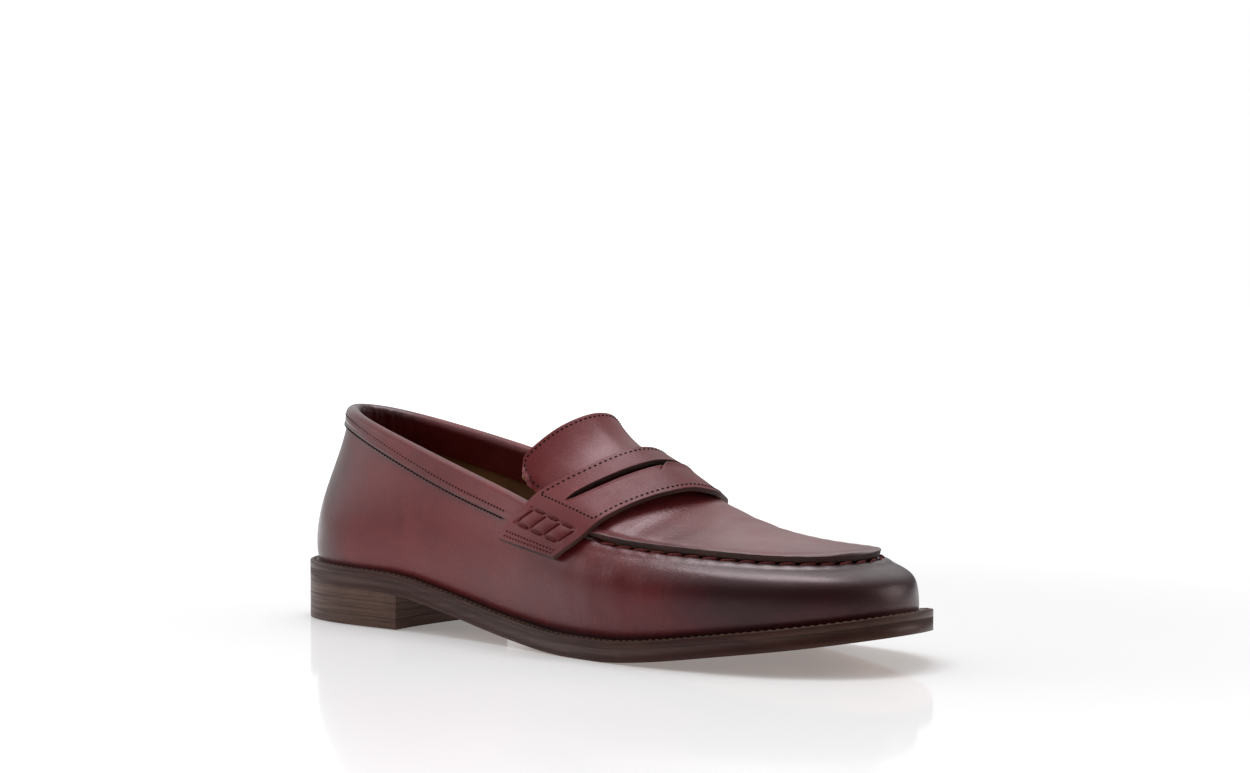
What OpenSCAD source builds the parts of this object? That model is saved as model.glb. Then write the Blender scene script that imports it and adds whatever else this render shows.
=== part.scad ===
// Penny loafer, right shoe, welted leather construction.
// X runs from heel to toe, Y from the outer (lateral) side to the inner (medial) side, Z is up.
// The shoe stands on the plane Z = 0 and its bounding box is centred on X = 0 and Y = 0.

/* [Sole] */
// Thickness of the leather outsole, mm
outsole_thickness = 5.2; // [4.4:0.1:5.6]
// Thickness of the welt strip on top of the outsole, mm
welt_thickness = 2.8; // [2.2:0.1:3]
// Extra width of the welt beyond the upper, mm
welt_extra = 0; // [-1:0.25:1.5]

/* [Heel] */
// Distance from the back of the heel to its front face, mm
heel_length = 72.7; // [64:0.1:78]
// Thickness of the rubber top piece that meets the ground, mm
top_piece_thickness = 4.4; // [3.6:0.1:5]
// Hollow of the front face of the heel, mm
heel_breast_hollow = 3; // [1:0.5:6]

/* [Upper] */
// Thickness of the upper leather, mm
upper_leather = 1.6; // [1.2:0.1:1.7]
// Thickness of the lining leather, mm
lining_leather = 0.9; // [0.6:0.1:1]
// Thickness of the raised apron leather, mm
apron_leather = 2; // [1.6:0.1:2.1]
// Radius of the waxed thread of the apron seam, mm
seam_thread_radius = 0.55; // [0.35:0.05:0.7]

/* [Saddle strap] */
// Thickness of the saddle strap, mm
strap_leather = 2.1; // [1.7:0.1:2.2]
// Width of the lens-shaped slot at its middle, as a share of the strap width
slot_width = 0.12; // [0.08:0.01:0.18]

/* [Tongue] */
// Thickness of the tongue leather, mm
tongue_leather = 1.7; // [1.3:0.1:1.8]

/* [Hidden] */
$fn = 64;
gap = 0.08;
sole_stack = outsole_thickness + welt_thickness;
thread = 0.34;
lining_depth = upper_leather + 1.15;
insole_lift = lining_depth + lining_leather + 3 * gap;
insole_thickness = 2.6;
heel_pad_thickness = 2;
sock_thickness = 1.2;
box_mid = [150.5, 2.28, 0];

// Heights of the underside of the outsole along the shoe. The tread is flat under the ball of the foot.
sole_x = [-6, 0, 40, 72, 100, 130, 158, 176, 198, 220, 250, 280, 306];
sole_z = [16.2, 16.1, 15.4, 14.2, 9.6, 4.4, 1.0, 0, 0, 1.9, 6.1, 10.4, 14.6];

// Width of the welt beyond the upper along the shoe.
welt_x = [0, 60, 130, 200, 303];
welt_w = [3.6, 3.6, 3.8, 5.0, 5.2];

// Each table holds the control points of a smooth closed curve.
// Stations run from the back of the heel along the lateral side to the toe and back along the medial side.
// Line where the upper meets the welt, in plan.
feather = [
    [1, -0.3], [9.7, -21.7], [32.8, -32], [75.5, -29.8], [114.6, -32.2], [155.4, -38.8],
    [194.4, -46.4], [236.5, -42.6], [276.5, -32.6], [300.5, -0.6], [290.1, 34.4], [261.5, 47.8],
    [215.5, 50.7], [170.2, 41.5], [124.6, 28.8], [80.8, 27.5], [31.6, 32.8], [9.9, 23.2]
];
// Top line at the back half of the shoe, apron seam at the front half.
topline = [
    [9.7, 1.6, 89.8], [21.4, -11.7, 89.1], [39.9, -20.4, 84.8], [77.5, -26.7, 75.2], [111.5, -28.5, 64.7],
    [147.9, -34, 56.2], [184.9, -39.5, 43.3], [222.2, -32.8, 41.2], [260.6, -24.3, 39.2],
    [280.8, 0.2, 39.3], [274.3, 32.9, 39.5], [242.7, 35.8, 38.8], [202.2, 39.4, 43.5],
    [161.5, 38.3, 57.9], [118, 29.4, 66.4],
    [80, 27.5, 75.5], [35.1, 22.5, 84.8], [17.4, 14.2, 88.8]
];
// Fullness of the side wall at each station: rise and spread at the bottom, drop and spread at the top.
fullness = [
    [23.4, 5.6, 23.2, 0.6], [24.8, 3.8, 23.4, 2.3], [21.4, 3.3, 21.2, 5], [18.5, 4.2, 20.7, 4.3],
    [15.5, 3.7, 15.8, 4.6], [15.6, 5.3, 12.2, 7.6], [18.2, 5.1, 7.6, 12.9], [19.2, 4.3, 5.3, 12.3],
    [15.6, 1.4, 4.1, 12.9], [14.9, 0.4, 5.3, 13.1], [13.3, -1.6, 7, 15.6], [17.6, 2.3, 6.7, 11.8],
    [17.8, 4.9, 8.1, 12.1], [16, 4.9, 12, 8.6], [14.3, 5.3, 15.8, 7.6], [16.9, 3.6, 20.6, 3],
    [20, 4.2, 21.7, 4.8], [22.9, 3.6, 24.7, 1.6]
];

// ---- curves ----
function wrap(i, n) = ((i % n) + n) % n;
function spline(a, b, c, d, t) =
    0.5 * (2 * b + (c - a) * t + (2 * a - 5 * b + 4 * c - d) * t * t + (3 * b - a - 3 * c + d) * t * t * t);
function rounded(a, b, c, d, t) =
    (a * pow(1 - t, 3) + b * (3 * pow(t, 3) - 6 * t * t + 4)
    + c * (3 * (t + t * t - pow(t, 3)) + 1) + d * pow(t, 3)) / 6;
function loop_at(k, u) =
    let(n = len(k), i = floor(u), t = u - i)
    rounded(k[wrap(i - 1, n)], k[wrap(i, n)], k[wrap(i + 1, n)], k[wrap(i + 2, n)], t);
function path_at(k, u) =
    let(n = len(k), i = max(0, min(n - 2, floor(u))), t = u - i,
        a = i > 0 ? k[i - 1] : 2 * k[0] - k[1],
        d = i < n - 2 ? k[i + 2] : 2 * k[n - 1] - k[n - 2])
    spline(a, k[i], k[i + 1], d, t);
function slope(x, y, i) =
    i == 0 ? (y[1] - y[0]) / (x[1] - x[0]) :
    i == len(x) - 1 ? (y[i] - y[i - 1]) / (x[i] - x[i - 1]) :
    (y[i + 1] - y[i - 1]) / (x[i + 1] - x[i - 1]);
function seek(x, v, i = 0) = i >= len(x) - 2 || v < x[i + 1] ? i : seek(x, v, i + 1);
function curve(x, y, v) =
    let(i = seek(x, v), w = x[i + 1] - x[i], t = (v - x[i]) / w,
        a = slope(x, y, i) * w, b = slope(x, y, i + 1) * w)
    y[i] * (1 + 2 * t) * (1 - t) * (1 - t) + a * t * (1 - t) * (1 - t)
    + y[i + 1] * t * t * (3 - 2 * t) - b * t * t * (1 - t);
function steps(a, b, n) = [for (i = [0 : n]) a + (b - a) * i / n];
function unit(v) = v / max(norm(v), 1e-9);
function mix(a, b, t) = a + (b - a) * t;
function ease(t) = let(c = max(0, min(1, t))) c * c * (3 - 2 * c);

// ---- the sole ----
function sole_under(x) = x > 176 && x < 198 ? 0 : max(0, curve(sole_x, sole_z, x));
function outward(u) =
    let(d = loop_at(feather, u + 0.02) - loop_at(feather, u - 0.02), t = d / norm(d))
    [t[1], -t[0]];
function foot_line(u, grow) = loop_at(feather, u) + outward(u) * grow;
function welt_line(u, grow) =
    foot_line(u, curve(welt_x, welt_w, max(0, min(303, loop_at(feather, u)[0]))) + welt_extra + grow);
function outline(grow, n = 108) = [for (i = [0 : n - 1]) foot_line(18 * i / n, grow)];
function welt_outline(grow, n = 108) = [for (i = [0 : n - 1]) welt_line(18 * i / n, grow)];
profile_x = [-6, 6, 20, 30, 40, 50, 58, 65, 72, 79, 86, 93, 100, 108, 116, 124, 132, 141, 150, 158, 166,
    176, 198, 206, 214, 222, 232, 242, 252, 262, 272, 283, 294, 306];
function level_line(lift) = [for (x = profile_x) [x, sole_under(x) + lift]];
function back_line(lift) =
    [for (i = [len(profile_x) - 1 : -1 : 0]) [profile_x[i], sole_under(profile_x[i]) + lift]];

// A slab that follows the curve of the sole between two lifts above its underside.
module slab(low, high) {
    rotate([90, 0, 0])
        translate([0, 0, -80])
            linear_extrude(height = 160)
                polygon(concat(level_line(low), back_line(high)));
}

module plan(points) {
    translate([0, 0, -5])
        linear_extrude(height = 60)
            polygon(points);
}

module curved_sheet(points, low, high) {
    intersection() {
        slab(low, high);
        plan(points);
    }
}

module place() {
    translate(-box_mid)
        children();
}

// ---- the upper's surface ----
function bezier(a, b, c, d, t) =
    let(s = 1 - t)
    a * s * s * s + b * 3 * s * s * t + c * 3 * s * t * t + d * t * t * t;
function on_level(p, lift) = [p[0], p[1], sole_under(p[0]) + lift];
function wall(u, v) =
    let(b = on_level(foot_line(u, 0), sole_stack + gap), t = loop_at(topline, u), h = loop_at(fullness, u),
        o = outward(u), out = [o[0], o[1], 0], up = [0, 0, 1])
    bezier(b, b + up * h[0] + out * h[1], t - up * h[2] + out * h[3], t, v);
function wall_normal(u, v) =
    unit(cross(wall(u + 0.02, v) - wall(u - 0.02, v), wall(u, v + 0.01) - wall(u, v - 0.01)));
function on_wall(u, v, lift) = wall(u, v) + wall_normal(u, v) * lift;

// ---- shells built on a grid of points ----
function row_normal(g, i, j, closed) =
    let(n = len(g), m = len(g[0]),
        a = closed ? g[wrap(i - 1, n)][j] : g[max(0, i - 1)][j],
        b = closed ? g[wrap(i + 1, n)][j] : g[min(n - 1, i + 1)][j],
        along = unit(b - a),
        p = g[i][j],
        back = j > 0 ? unit(p - g[i][j - 1]) : unit(g[i][1] - p),
        fore = j < m - 1 ? unit(g[i][j + 1] - p) : back,
        nb = unit(cross(along, back)),
        nf = unit(cross(along, fore)),
        nn = unit(nb + nf))
    nn / max(0.55, nn * nf);
function shifted(g, d, closed) =
    [for (i = [0 : len(g) - 1]) [for (j = [0 : len(g[0]) - 1]) g[i][j] + row_normal(g, i, j, closed) * d]];
function flat(g) = [for (r = g) each r];
function faces_between(n, m, closed) =
    let(s = n * m, last = closed ? n - 1 : n - 2)
    concat(
        [for (i = [0 : last]) for (j = [0 : m - 2])
            let(a = i * m + j, b = wrap(i + 1, n) * m + j) [a, a + 1, b + 1, b]],
        [for (i = [0 : last]) for (j = [0 : m - 2])
            let(a = s + i * m + j, b = s + wrap(i + 1, n) * m + j) [a, b, b + 1, a + 1]],
        [for (i = [0 : last])
            let(a = i * m, b = wrap(i + 1, n) * m) [a, b, s + b, s + a]],
        [for (i = [0 : last])
            let(a = i * m + m - 1, b = wrap(i + 1, n) * m + m - 1) [a, s + a, s + b, b]],
        closed ? [] : [for (j = [0 : m - 2]) [j, s + j, s + j + 1, j + 1]],
        closed ? [] : [for (j = [0 : m - 2])
            let(a = (n - 1) * m + j) [a, a + 1, s + a + 1, s + a]]
    );

// Leather between two distances from a grid of points, outer first.
module shell(g, outer, inner, closed = false) {
    polyhedron(
        points = concat(flat(shifted(g, outer, closed)), flat(shifted(g, inner, closed))),
        faces = faces_between(len(g), len(g[0]), closed),
        convexity = 6
    );
}

// A short thread from one point to another.
module stitch(p, q, r) {
    d = q - p;
    translate(p)
        rotate([0, acos(d[2] / norm(d)), atan2(d[1], d[0])])
            cylinder(h = norm(d), r = r, $fn = 20);
}

// ---- the lasted upper: flange turned in under the insole, then the wall ----
function rim(u, inset, lift) = on_level(foot_line(u, -inset), lift);
function lasted(u, rise, inset) =
    concat(
        [rim(u, inset, sole_stack + gap), rim(u, inset * 0.45, sole_stack + gap)],
        [for (v = rise) wall(u, v)]
    );
function wall_top(u) = let(w = abs(wrap(u * 100, 1800) / 100 - 9)) mix(1.02, 0.945, ease((w - 3.6) / 0.5));
wall_rise = [0, 0.08, 0.2, 0.36, 0.54, 0.7, 0.83, 0.93, 1];
function vamp_grid(n) =
    [for (u = steps(0.012, 17.988, n)) lasted(u, [for (t = wall_rise) t * wall_top(u)], 9)];
function lining_rise(u) = [for (t = [0, 0.14, 0.4, 0.7, 1]) t * (collar_low(u > 9 ? u - 18 : u) - 0.03)];
function quarter_grid(u0, u1, n) = [for (u = steps(u0, u1, n)) lasted(u, lining_rise(u), 7.8)];
function part_grid(u0, u1, n, rise, inset) = [for (u = steps(u0, u1, n)) lasted(u, rise, inset)];

// ---- the apron ----
apron_k = [0, 0.5, 1, 1.5, 2, 2.5, 3, 3.5];
apron_h = [0.3, 1.2, 2.0, 2.9, 4.4, 7.5, 13, 18.2];
function arch_point(k, t, h) =
    let(l = loop_at(topline, 9 - k), m = loop_at(topline, 9 + k), p = mix(3, 1.85, ease(k / 3.2)))
    mix(l, m, (t + 1) / 2) + [0, 0, 1] * h * (1 - pow(abs(t), p));
function apron_grid(k1, n, m) =
    [for (k = concat([0.1, 0.22, 0.36], steps(0.5, k1, n)))
        [for (t = steps(1, -1, m)) arch_point(k, t, curve(apron_k, apron_h, k))]];

// ---- the saddle strap ----
// Rear edge and front edge of the strap, from the lateral tab over the instep to the medial tab.
strap_lift = strap_leather + 1.3;
strap_rear = [
    on_wall(4.664, 0.624, strap_lift), on_wall(4.82, 0.806, strap_lift), on_wall(4.98, 0.95, strap_lift),
    [151, -33.4, 61], [157, -29.2, 65.3], [164.5, -22, 70.4], [170, -13, 74.8], [173.6, -2, 77.6],
    [174, 9.5, 77], [170, 20.5, 73.3], [163.8, 28.7, 69], [158, 34.8, 64.8],
    on_wall(13.28, 0.95, strap_lift), on_wall(13.46, 0.806, strap_lift), on_wall(13.6, 0.624, strap_lift)
];
strap_front = [
    on_wall(5.611, 0.641, strap_lift), on_wall(5.795, 0.783, strap_lift), on_wall(5.9, 0.92, strap_lift),
    [186, -36.5, 52.3], [190, -28.5, 56.6], [194.4, -19.5, 60], [198.6, -10, 62.3], [201, 1, 63.2],
    [201, 12, 61.6], [197.6, 22.2, 59.5], [192.6, 31.2, 57.4], [188.2, 38.8, 54.6],
    on_wall(12.48, 0.92, strap_lift), on_wall(12.64, 0.783, strap_lift), on_wall(12.73, 0.641, strap_lift)
];
function strap_at(j, w) =
    let(a = path_at(strap_rear, j), b = path_at(strap_front, j), lift = sin(180 * max(0, min(1, w))) * 0.7)
    mix(a, b, w) - unit(cross(path_at(strap_rear, j + 0.05) - path_at(strap_rear, j - 0.05), b - a)) * lift;
slot_from = 3.15;
slot_to = 11.15;
function slot_half(j) =
    let(s = (2 * j - slot_from - slot_to) / (slot_to - slot_from))
    slot_width / 2 * (1 - min(1, pow(abs(s), 4)));
function strap_grid(j0, j1, n, w0, w1, m) =
    [for (w = steps(w0, w1, m)) [for (j = steps(j0, j1, n)) strap_at(j, w)]];
function slot_side(j, s) = let(p = strap_at(j, 0.42 + s * slot_half(j))) [p[0], p[1]];
function slot_plan(n) =
    concat(
        [for (j = steps(slot_from, slot_to, n)) slot_side(j, -1)],
        [for (i = [n - 1 : -1 : 1]) slot_side(mix(slot_from, slot_to, i / n), 1)]
    );
function strap_normal(j, w) =
    let(across = strap_at(j, w + 0.05) - strap_at(j, w - 0.05),
        along = strap_at(j + 0.05, w) - strap_at(j - 0.05, w))
    unit(cross(across, along));
function on_strap(j, w, lift) = strap_at(j, w) + strap_normal(j, w) * lift;

// ---- the tongue ----
hinge_at = [174.4, 2, 73.6];
tongue_edge = [
    [144.5, -31, 65.2], [139, -29, 72.8], [141.5, -22, 79.8], [145.8, -12.5, 86.1], [150, -1, 89.9],
    [150.4, 10.5, 89.2], [146.2, 21, 84.4], [142.2, 29.5, 77.2], [148, 32.4, 68.4]
];
function tongue_root(c) =
    on_strap(mix(3.05, 11, c / 8), 0.06 * sin(22.5 * c) - 0.045, -strap_leather - 1);
function tongue_at(c, w) =
    let(a = tongue_root(c), b = path_at(tongue_edge, c))
    mix(a, b, w) + [-0.5, 0, -0.86] * 1.6 * sin(180 * w);
function tongue_grid(c0, c1, n, w0, w1, m) =
    [for (w = steps(w0, w1, m)) [for (c = steps(c1, c0, n)) tongue_at(c, w)]];

// ---- the collar round the mouth ----
collar_from = -4.62;
collar_to = 4.97;
function collar_low(u) = curve([0, 1.7, 3.7, 5], [0.885, 0.88, 0.8, 0.78], abs(u));
roll = 2.575;
function collar_row(u) =
    let(c = on_wall(u, 0.952, 0.65 - roll), n = wall_normal(u, 0.952),
        up = unit(wall(u, 0.96) - wall(u, 0.94)))
    concat(
        [for (t = [0, 0.35, 0.7, 1]) on_wall(u, mix(collar_low(u), 0.952, t), 0.65)],
        [for (a = [30, 60, 90, 120, 150]) c + n * roll * cos(a) + up * roll * sin(a)],
        [for (t = [1, 0.6, 0.25, 0]) on_wall(u, mix(collar_low(u) - 0.09, 0.952, t), 0.65 - 2 * roll)]
    );

// ---- colours ----
oxblood = [0.40, 0.20, 0.19];
deep_red = [0.36, 0.10, 0.09];
tan = [0.50, 0.38, 0.25];
sole_brown = [0.24, 0.17, 0.14];
thread_brown = [0.22, 0.08, 0.07];
edge_dark = [0.20, 0.14, 0.11];

// ================= heel =================
module heel_block(low, high) {
    difference() {
        intersection() {
            linear_extrude(height = 30)
                polygon(welt_outline(-0.1));
            translate([-10, -60, low])
                cube([heel_length + 10, 120, high - low]);
        }
        translate([heel_length - heel_breast_hollow + heel_breast_radius(), 0, -1])
            cylinder(h = 40, r = heel_breast_radius(), $fn = 180);
    }
}
function heel_breast_radius() = (34 * 34 + pow(heel_breast_hollow, 2)) / (2 * heel_breast_hollow);
nail_spots = [
    [14, -16], [14, 16], [8, 0], [32, -23], [32, 23], [52, -22], [52, 22], [60, 8], [60, -8]
];
lift_top_1 = top_piece_thickness + 3.2;
lift_top_2 = lift_top_1 + 3.2;

module nail_holes() {
    for (p = nail_spots)
        translate([p[0], p[1], -1])
            cylinder(h = 20, r = 0.95, $fn = 24);
}

module heel_top_piece() {
    color([0.16, 0.13, 0.12])
        place()
            difference() {
                heel_block(0, top_piece_thickness);
                nail_holes();
                for (p = nail_spots)
                    translate([p[0], p[1], -1])
                        cylinder(h = 2.3, r = 2.1, $fn = 32);
            }
}

module heel_lift_lower() {
    color(sole_brown)
        place()
            difference() {
                heel_block(top_piece_thickness + gap, lift_top_1);
                nail_holes();
            }
}

module heel_lift_middle() {
    color(sole_brown)
        place()
            difference() {
                heel_block(lift_top_1 + gap, lift_top_2);
                nail_holes();
            }
}

module heel_lift_upper() {
    color(sole_brown)
        place()
            difference() {
                heel_block(lift_top_2 + gap, 20);
                slab(-gap, 30);
                nail_holes();
            }
}

module heel_nails() {
    color([0.72, 0.58, 0.32])
        place()
            for (p = nail_spots)
                translate([p[0], p[1], 0.4]) {
                    cylinder(h = 0.9, r = 2, $fn = 32);
                    cylinder(h = 11.5, r = 0.9, $fn = 24);
                }
}

// ================= bottom =================
module outsole() {
    color(sole_brown)
        place()
            difference() {
                curved_sheet(welt_outline(0), 0, outsole_thickness);
                nail_holes();
                stitch_channel();
            }
}

// Groove in the tread that the outsole stitching lies in, from one heel corner round the toe to the other.
module stitch_channel() {
    difference() {
        slab(-1, 0.9);
        translate([-20, -80, -1])
            cube([heel_length + 28, 160, 60]);
        plan(welt_outline(-4));
        difference() {
            plan(outline(40));
            plan(welt_outline(-2.8));
        }
    }
}

module welt() {
    color(sole_brown)
        place()
            difference() {
                curved_sheet(welt_outline(0), outsole_thickness + gap, sole_stack);
                plan(outline(-9.6));
            }
}

module insole_rib() {
    color(tan)
        place()
            difference() {
                curved_sheet(outline(-9.8, 72), outsole_thickness + gap, sole_stack + insole_lift - gap);
                plan(outline(-12.4, 72));
            }
}

function shank_line(grow) = [38 - grow, 50, 65, 80, 95, 110, 125, 140, 155, 168 + grow];
module shank_bar(grow) {
    line = shank_line(grow);
    rotate([90, 0, 0])
        translate([0, 0, -7 - grow])
            linear_extrude(height = 14 + 2 * grow)
                polygon(concat(
                    [for (x = line) [x, sole_under(x) + outsole_thickness + 1.6 - grow]],
                    [for (i = [len(line) - 1 : -1 : 0])
                        [line[i], sole_under(line[i]) + outsole_thickness + 2.9 + grow]]));
}

module cork_filler() {
    color([0.55, 0.40, 0.26])
        place()
            difference() {
                curved_sheet(outline(-12.6, 72), outsole_thickness + gap, sole_stack + insole_lift - gap);
                shank_bar(gap);
            }
}

module shank() {
    color([0.62, 0.63, 0.65])
        place()
            shank_bar(0);
}

module insole() {
    color([0.62, 0.47, 0.32])
        place()
            curved_sheet(outline(-6.4), sole_stack + insole_lift,
                sole_stack + insole_lift + insole_thickness);
}

pad_level = sole_stack + insole_lift + insole_thickness + gap;
function sock_low(x) = sole_under(x) + pad_level + (heel_pad_thickness + gap) * ease((92 - x) / 18);
module heel_pad() {
    color([0.75, 0.70, 0.60])
        place()
            intersection() {
                curved_sheet(outline(-6.7), pad_level, pad_level + heel_pad_thickness);
                translate([-10, -60, 0])
                    cube([84, 120, 60]);
            }
}

module sock_liner() {
    color(tan)
        place()
            intersection() {
                rotate([90, 0, 0])
                    translate([0, 0, -80])
                        linear_extrude(height = 160)
                            polygon(concat(
                                [for (x = profile_x) [x, sock_low(x)]],
                                [for (i = [len(profile_x) - 1 : -1 : 0])
                                    [profile_x[i], sock_low(profile_x[i]) + sock_thickness]]));
                plan(outline(-7));
            }
}

// ================= upper =================
module wraparound_vamp() {
    color(oxblood)
        place()
            shell(vamp_grid(76), 0, -upper_leather);
}

module toe_puff() {
    color([0.75, 0.68, 0.55])
        place()
            shell(part_grid(7.2, 10.9, 24, [0, 0.12, 0.35, 0.6, 0.84], 8.4),
                -upper_leather - 0.3, -lining_depth + 0.3);
}

module heel_counter() {
    color([0.75, 0.68, 0.55])
        place()
            shell(part_grid(-2.9, 2.9, 28, [0, 0.12, 0.3, 0.5, 0.68], 8.4),
                -upper_leather - 0.3, -lining_depth + 0.3);
}

module vamp_lining() {
    color(tan)
        place()
            shell(part_grid(5.15, 12.85, 34, [0, 0.12, 0.35, 0.6, 0.82, 0.94], 7.8), -lining_depth,
                -lining_depth - lining_leather);
}

module quarter_lining_lateral() {
    color(tan)
        place()
            shell(quarter_grid(1.95, 5.1, 14), -lining_depth, -lining_depth - lining_leather);
}

module quarter_lining_medial() {
    color(tan)
        place()
            shell(quarter_grid(12.9, 16.05, 14), -lining_depth, -lining_depth - lining_leather);
}

module heel_grip() {
    color(tan)
        place()
            shell(quarter_grid(-1.9, 1.9, 18), -lining_depth, -lining_depth - lining_leather);
}

module collar_padding() {
    color([0.85, 0.82, 0.74])
        place()
            shell([for (u = steps(-4.5, 4.85, 36))
                [for (t = [0, 0.5, 1]) wall(u, mix(collar_low(u), 0.945, t))]],
                -upper_leather - 0.15, 0.65 - 2 * roll + 0.75);
}

module topline_collar() {
    color(deep_red)
        place()
            shell([for (u = steps(collar_from, collar_to, 44)) collar_row(u)], 0.55, -0.55);
}

module back_strip() {
    color(oxblood)
        place()
            shell([for (u = [-0.22, -0.08, 0.08, 0.22]) [for (v = steps(0.03, 0.865, 9)) wall(u, v)]],
                1, 0.12);
}

module apron() {
    color(oxblood)
        place()
            shell(apron_grid(3.32, 18, 14), 0.25 + apron_leather, 0.25);
}

module apron_lining() {
    color(tan)
        place()
            shell([for (k = steps(0.6, 3.5, 14)) [for (t = steps(0.86, -0.86, 12))
                arch_point(k, t, curve(apron_k, apron_h, k)) - [0, 0, 1.1]]],
                -0.3, -0.3 - lining_leather);
}

module saddle_strap() {
    color(oxblood)
        place()
            difference() {
                shell(strap_grid(0, 14, 56, 0, 1, 6), 0, -strap_leather);
                translate([0, 0, 52])
                    linear_extrude(height = 40)
                        polygon(slot_plan(24));
            }
}

module tongue() {
    color(oxblood)
        place()
            shell(tongue_grid(0, 8, 26, 0, 1, 8), 0, -tongue_leather);
}

module tongue_lining() {
    color(tan)
        place()
            shell(tongue_grid(0.15, 7.85, 24, 0.03, 0.96, 7), -tongue_leather - gap,
                -tongue_leather - gap - 0.8);
}

// ================= stitching =================
module apron_stitching() {
    color(thread_brown)
        place()
            for (u = steps(6.05, 11.95, 34))
                stitch(on_wall(u, 0.965, 0), loop_at(topline, u + 0.07) + [0, 0, 1.4], seam_thread_radius);
}

module welt_stitching() {
    color([0.55, 0.42, 0.30])
        place()
            for (i = [0 : 149])
                stitch(on_level(welt_line(18 * i / 150, -1.9), sole_stack),
                    on_level(welt_line(18 * (i + 0.62) / 150, -1.9), sole_stack), 0.4);
}

module sole_stitching() {
    color([0.45, 0.34, 0.24])
        place()
            for (i = [0 : 103])
                stitch(on_level(welt_line(3.3 + 11.4 * i / 104, -3.4), 0.42),
                    on_level(welt_line(3.3 + 11.4 * (i + 0.66) / 104, -3.4), 0.42), 0.4);
}

module collar_stitching() {
    color(thread_brown)
        place()
            for (i = [0 : 119])
                let(u = mix(-4.5, 4.66, i / 120), d = 9.16 / 120 * 0.6)
                stitch(on_wall(u, collar_low(u) + 0.045, 1.15),
                    on_wall(u + d, collar_low(u + d) + 0.045, 1.15), thread);
}

module back_strip_stitching() {
    color(thread_brown)
        place()
            for (s = [-0.15, 0.15])
                for (v = steps(0.06, 0.84, 19))
                    stitch(on_wall(s, v, 1), on_wall(s, v + 0.026, 1), thread);
}

module strap_edge_stitching() {
    color(thread_brown)
        place() {
            for (w = [0.075, 0.925])
                for (j = steps(2.9, 11.05, 47))
                    stitch(on_strap(j, w, 0), on_strap(j + 0.1, w, 0), thread);
            for (j = [2.9, 11.1])
                for (w = steps(0.15, 0.81, 9))
                    stitch(on_strap(j, w, 0), on_strap(j, w + 0.045, 0), thread);
        }
}

module tab_stitching(a, b, side) {
    for (w = steps(0.08, 0.88, 10)) {
        stitch(on_strap(a, w, 0), on_strap(a, w + 0.05, 0), thread);
        stitch(on_strap(b, w, 0), on_strap(b, w + 0.05, 0), thread);
    }
    for (n = [0 : 2]) {
        w = 0.16 + 0.215 * n;
        stitch(on_strap(side * 0.65 + a, w, 0.1), on_strap(side * 0.65 + a, w + 0.17, 0.1), 0.5);
        stitch(on_strap(side * 1.8 + a, w, 0.1), on_strap(side * 1.8 + a, w + 0.17, 0.1), 0.5);
    }
    for (n = [0 : 3])
        stitch(on_strap(side * 0.7 + a, 0.15 + 0.215 * n, 0.1),
            on_strap(side * 1.75 + a, 0.13 + 0.215 * n, 0.1), 0.45);
}

module tab_stitching_lateral() {
    color(thread_brown)
        place()
            tab_stitching(0.22, 0.42, 1);
}

module tab_stitching_medial() {
    color(thread_brown)
        place()
            tab_stitching(13.78, 13.58, -1);
}

module tongue_stitching() {
    color(thread_brown)
        place() {
            for (c = steps(0.35, 7.65, 40))
                stitch(tongue_at(c, 0.93), tongue_at(c + 0.1, 0.93), thread);
            for (c = [0.3, 7.7])
                for (w = steps(0.2, 0.86, 5))
                    stitch(tongue_at(c, w), tongue_at(c, w + 0.08), thread);
        }
}

heel_top_piece();
heel_lift_lower();
heel_lift_middle();
heel_lift_upper();
heel_nails();
outsole();
welt();
insole_rib();
cork_filler();
shank();
insole();
heel_pad();
sock_liner();
wraparound_vamp();
toe_puff();
heel_counter();
vamp_lining();
quarter_lining_lateral();
quarter_lining_medial();
heel_grip();
collar_padding();
topline_collar();
back_strip();
apron();
apron_lining();
saddle_strap();
tongue();
tongue_lining();
apron_stitching();
welt_stitching();
sole_stitching();
collar_stitching();
back_strip_stitching();
strap_edge_stitching();
tab_stitching_lateral();
tab_stitching_medial();
tongue_stitching();
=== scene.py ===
"""Looks of the penny loafer: smooth leather, stitching, sole and heel built round the CAD frame."""

import math

import bmesh
import bpy
import numpy as np
from mathutils import Matrix, Vector


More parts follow.
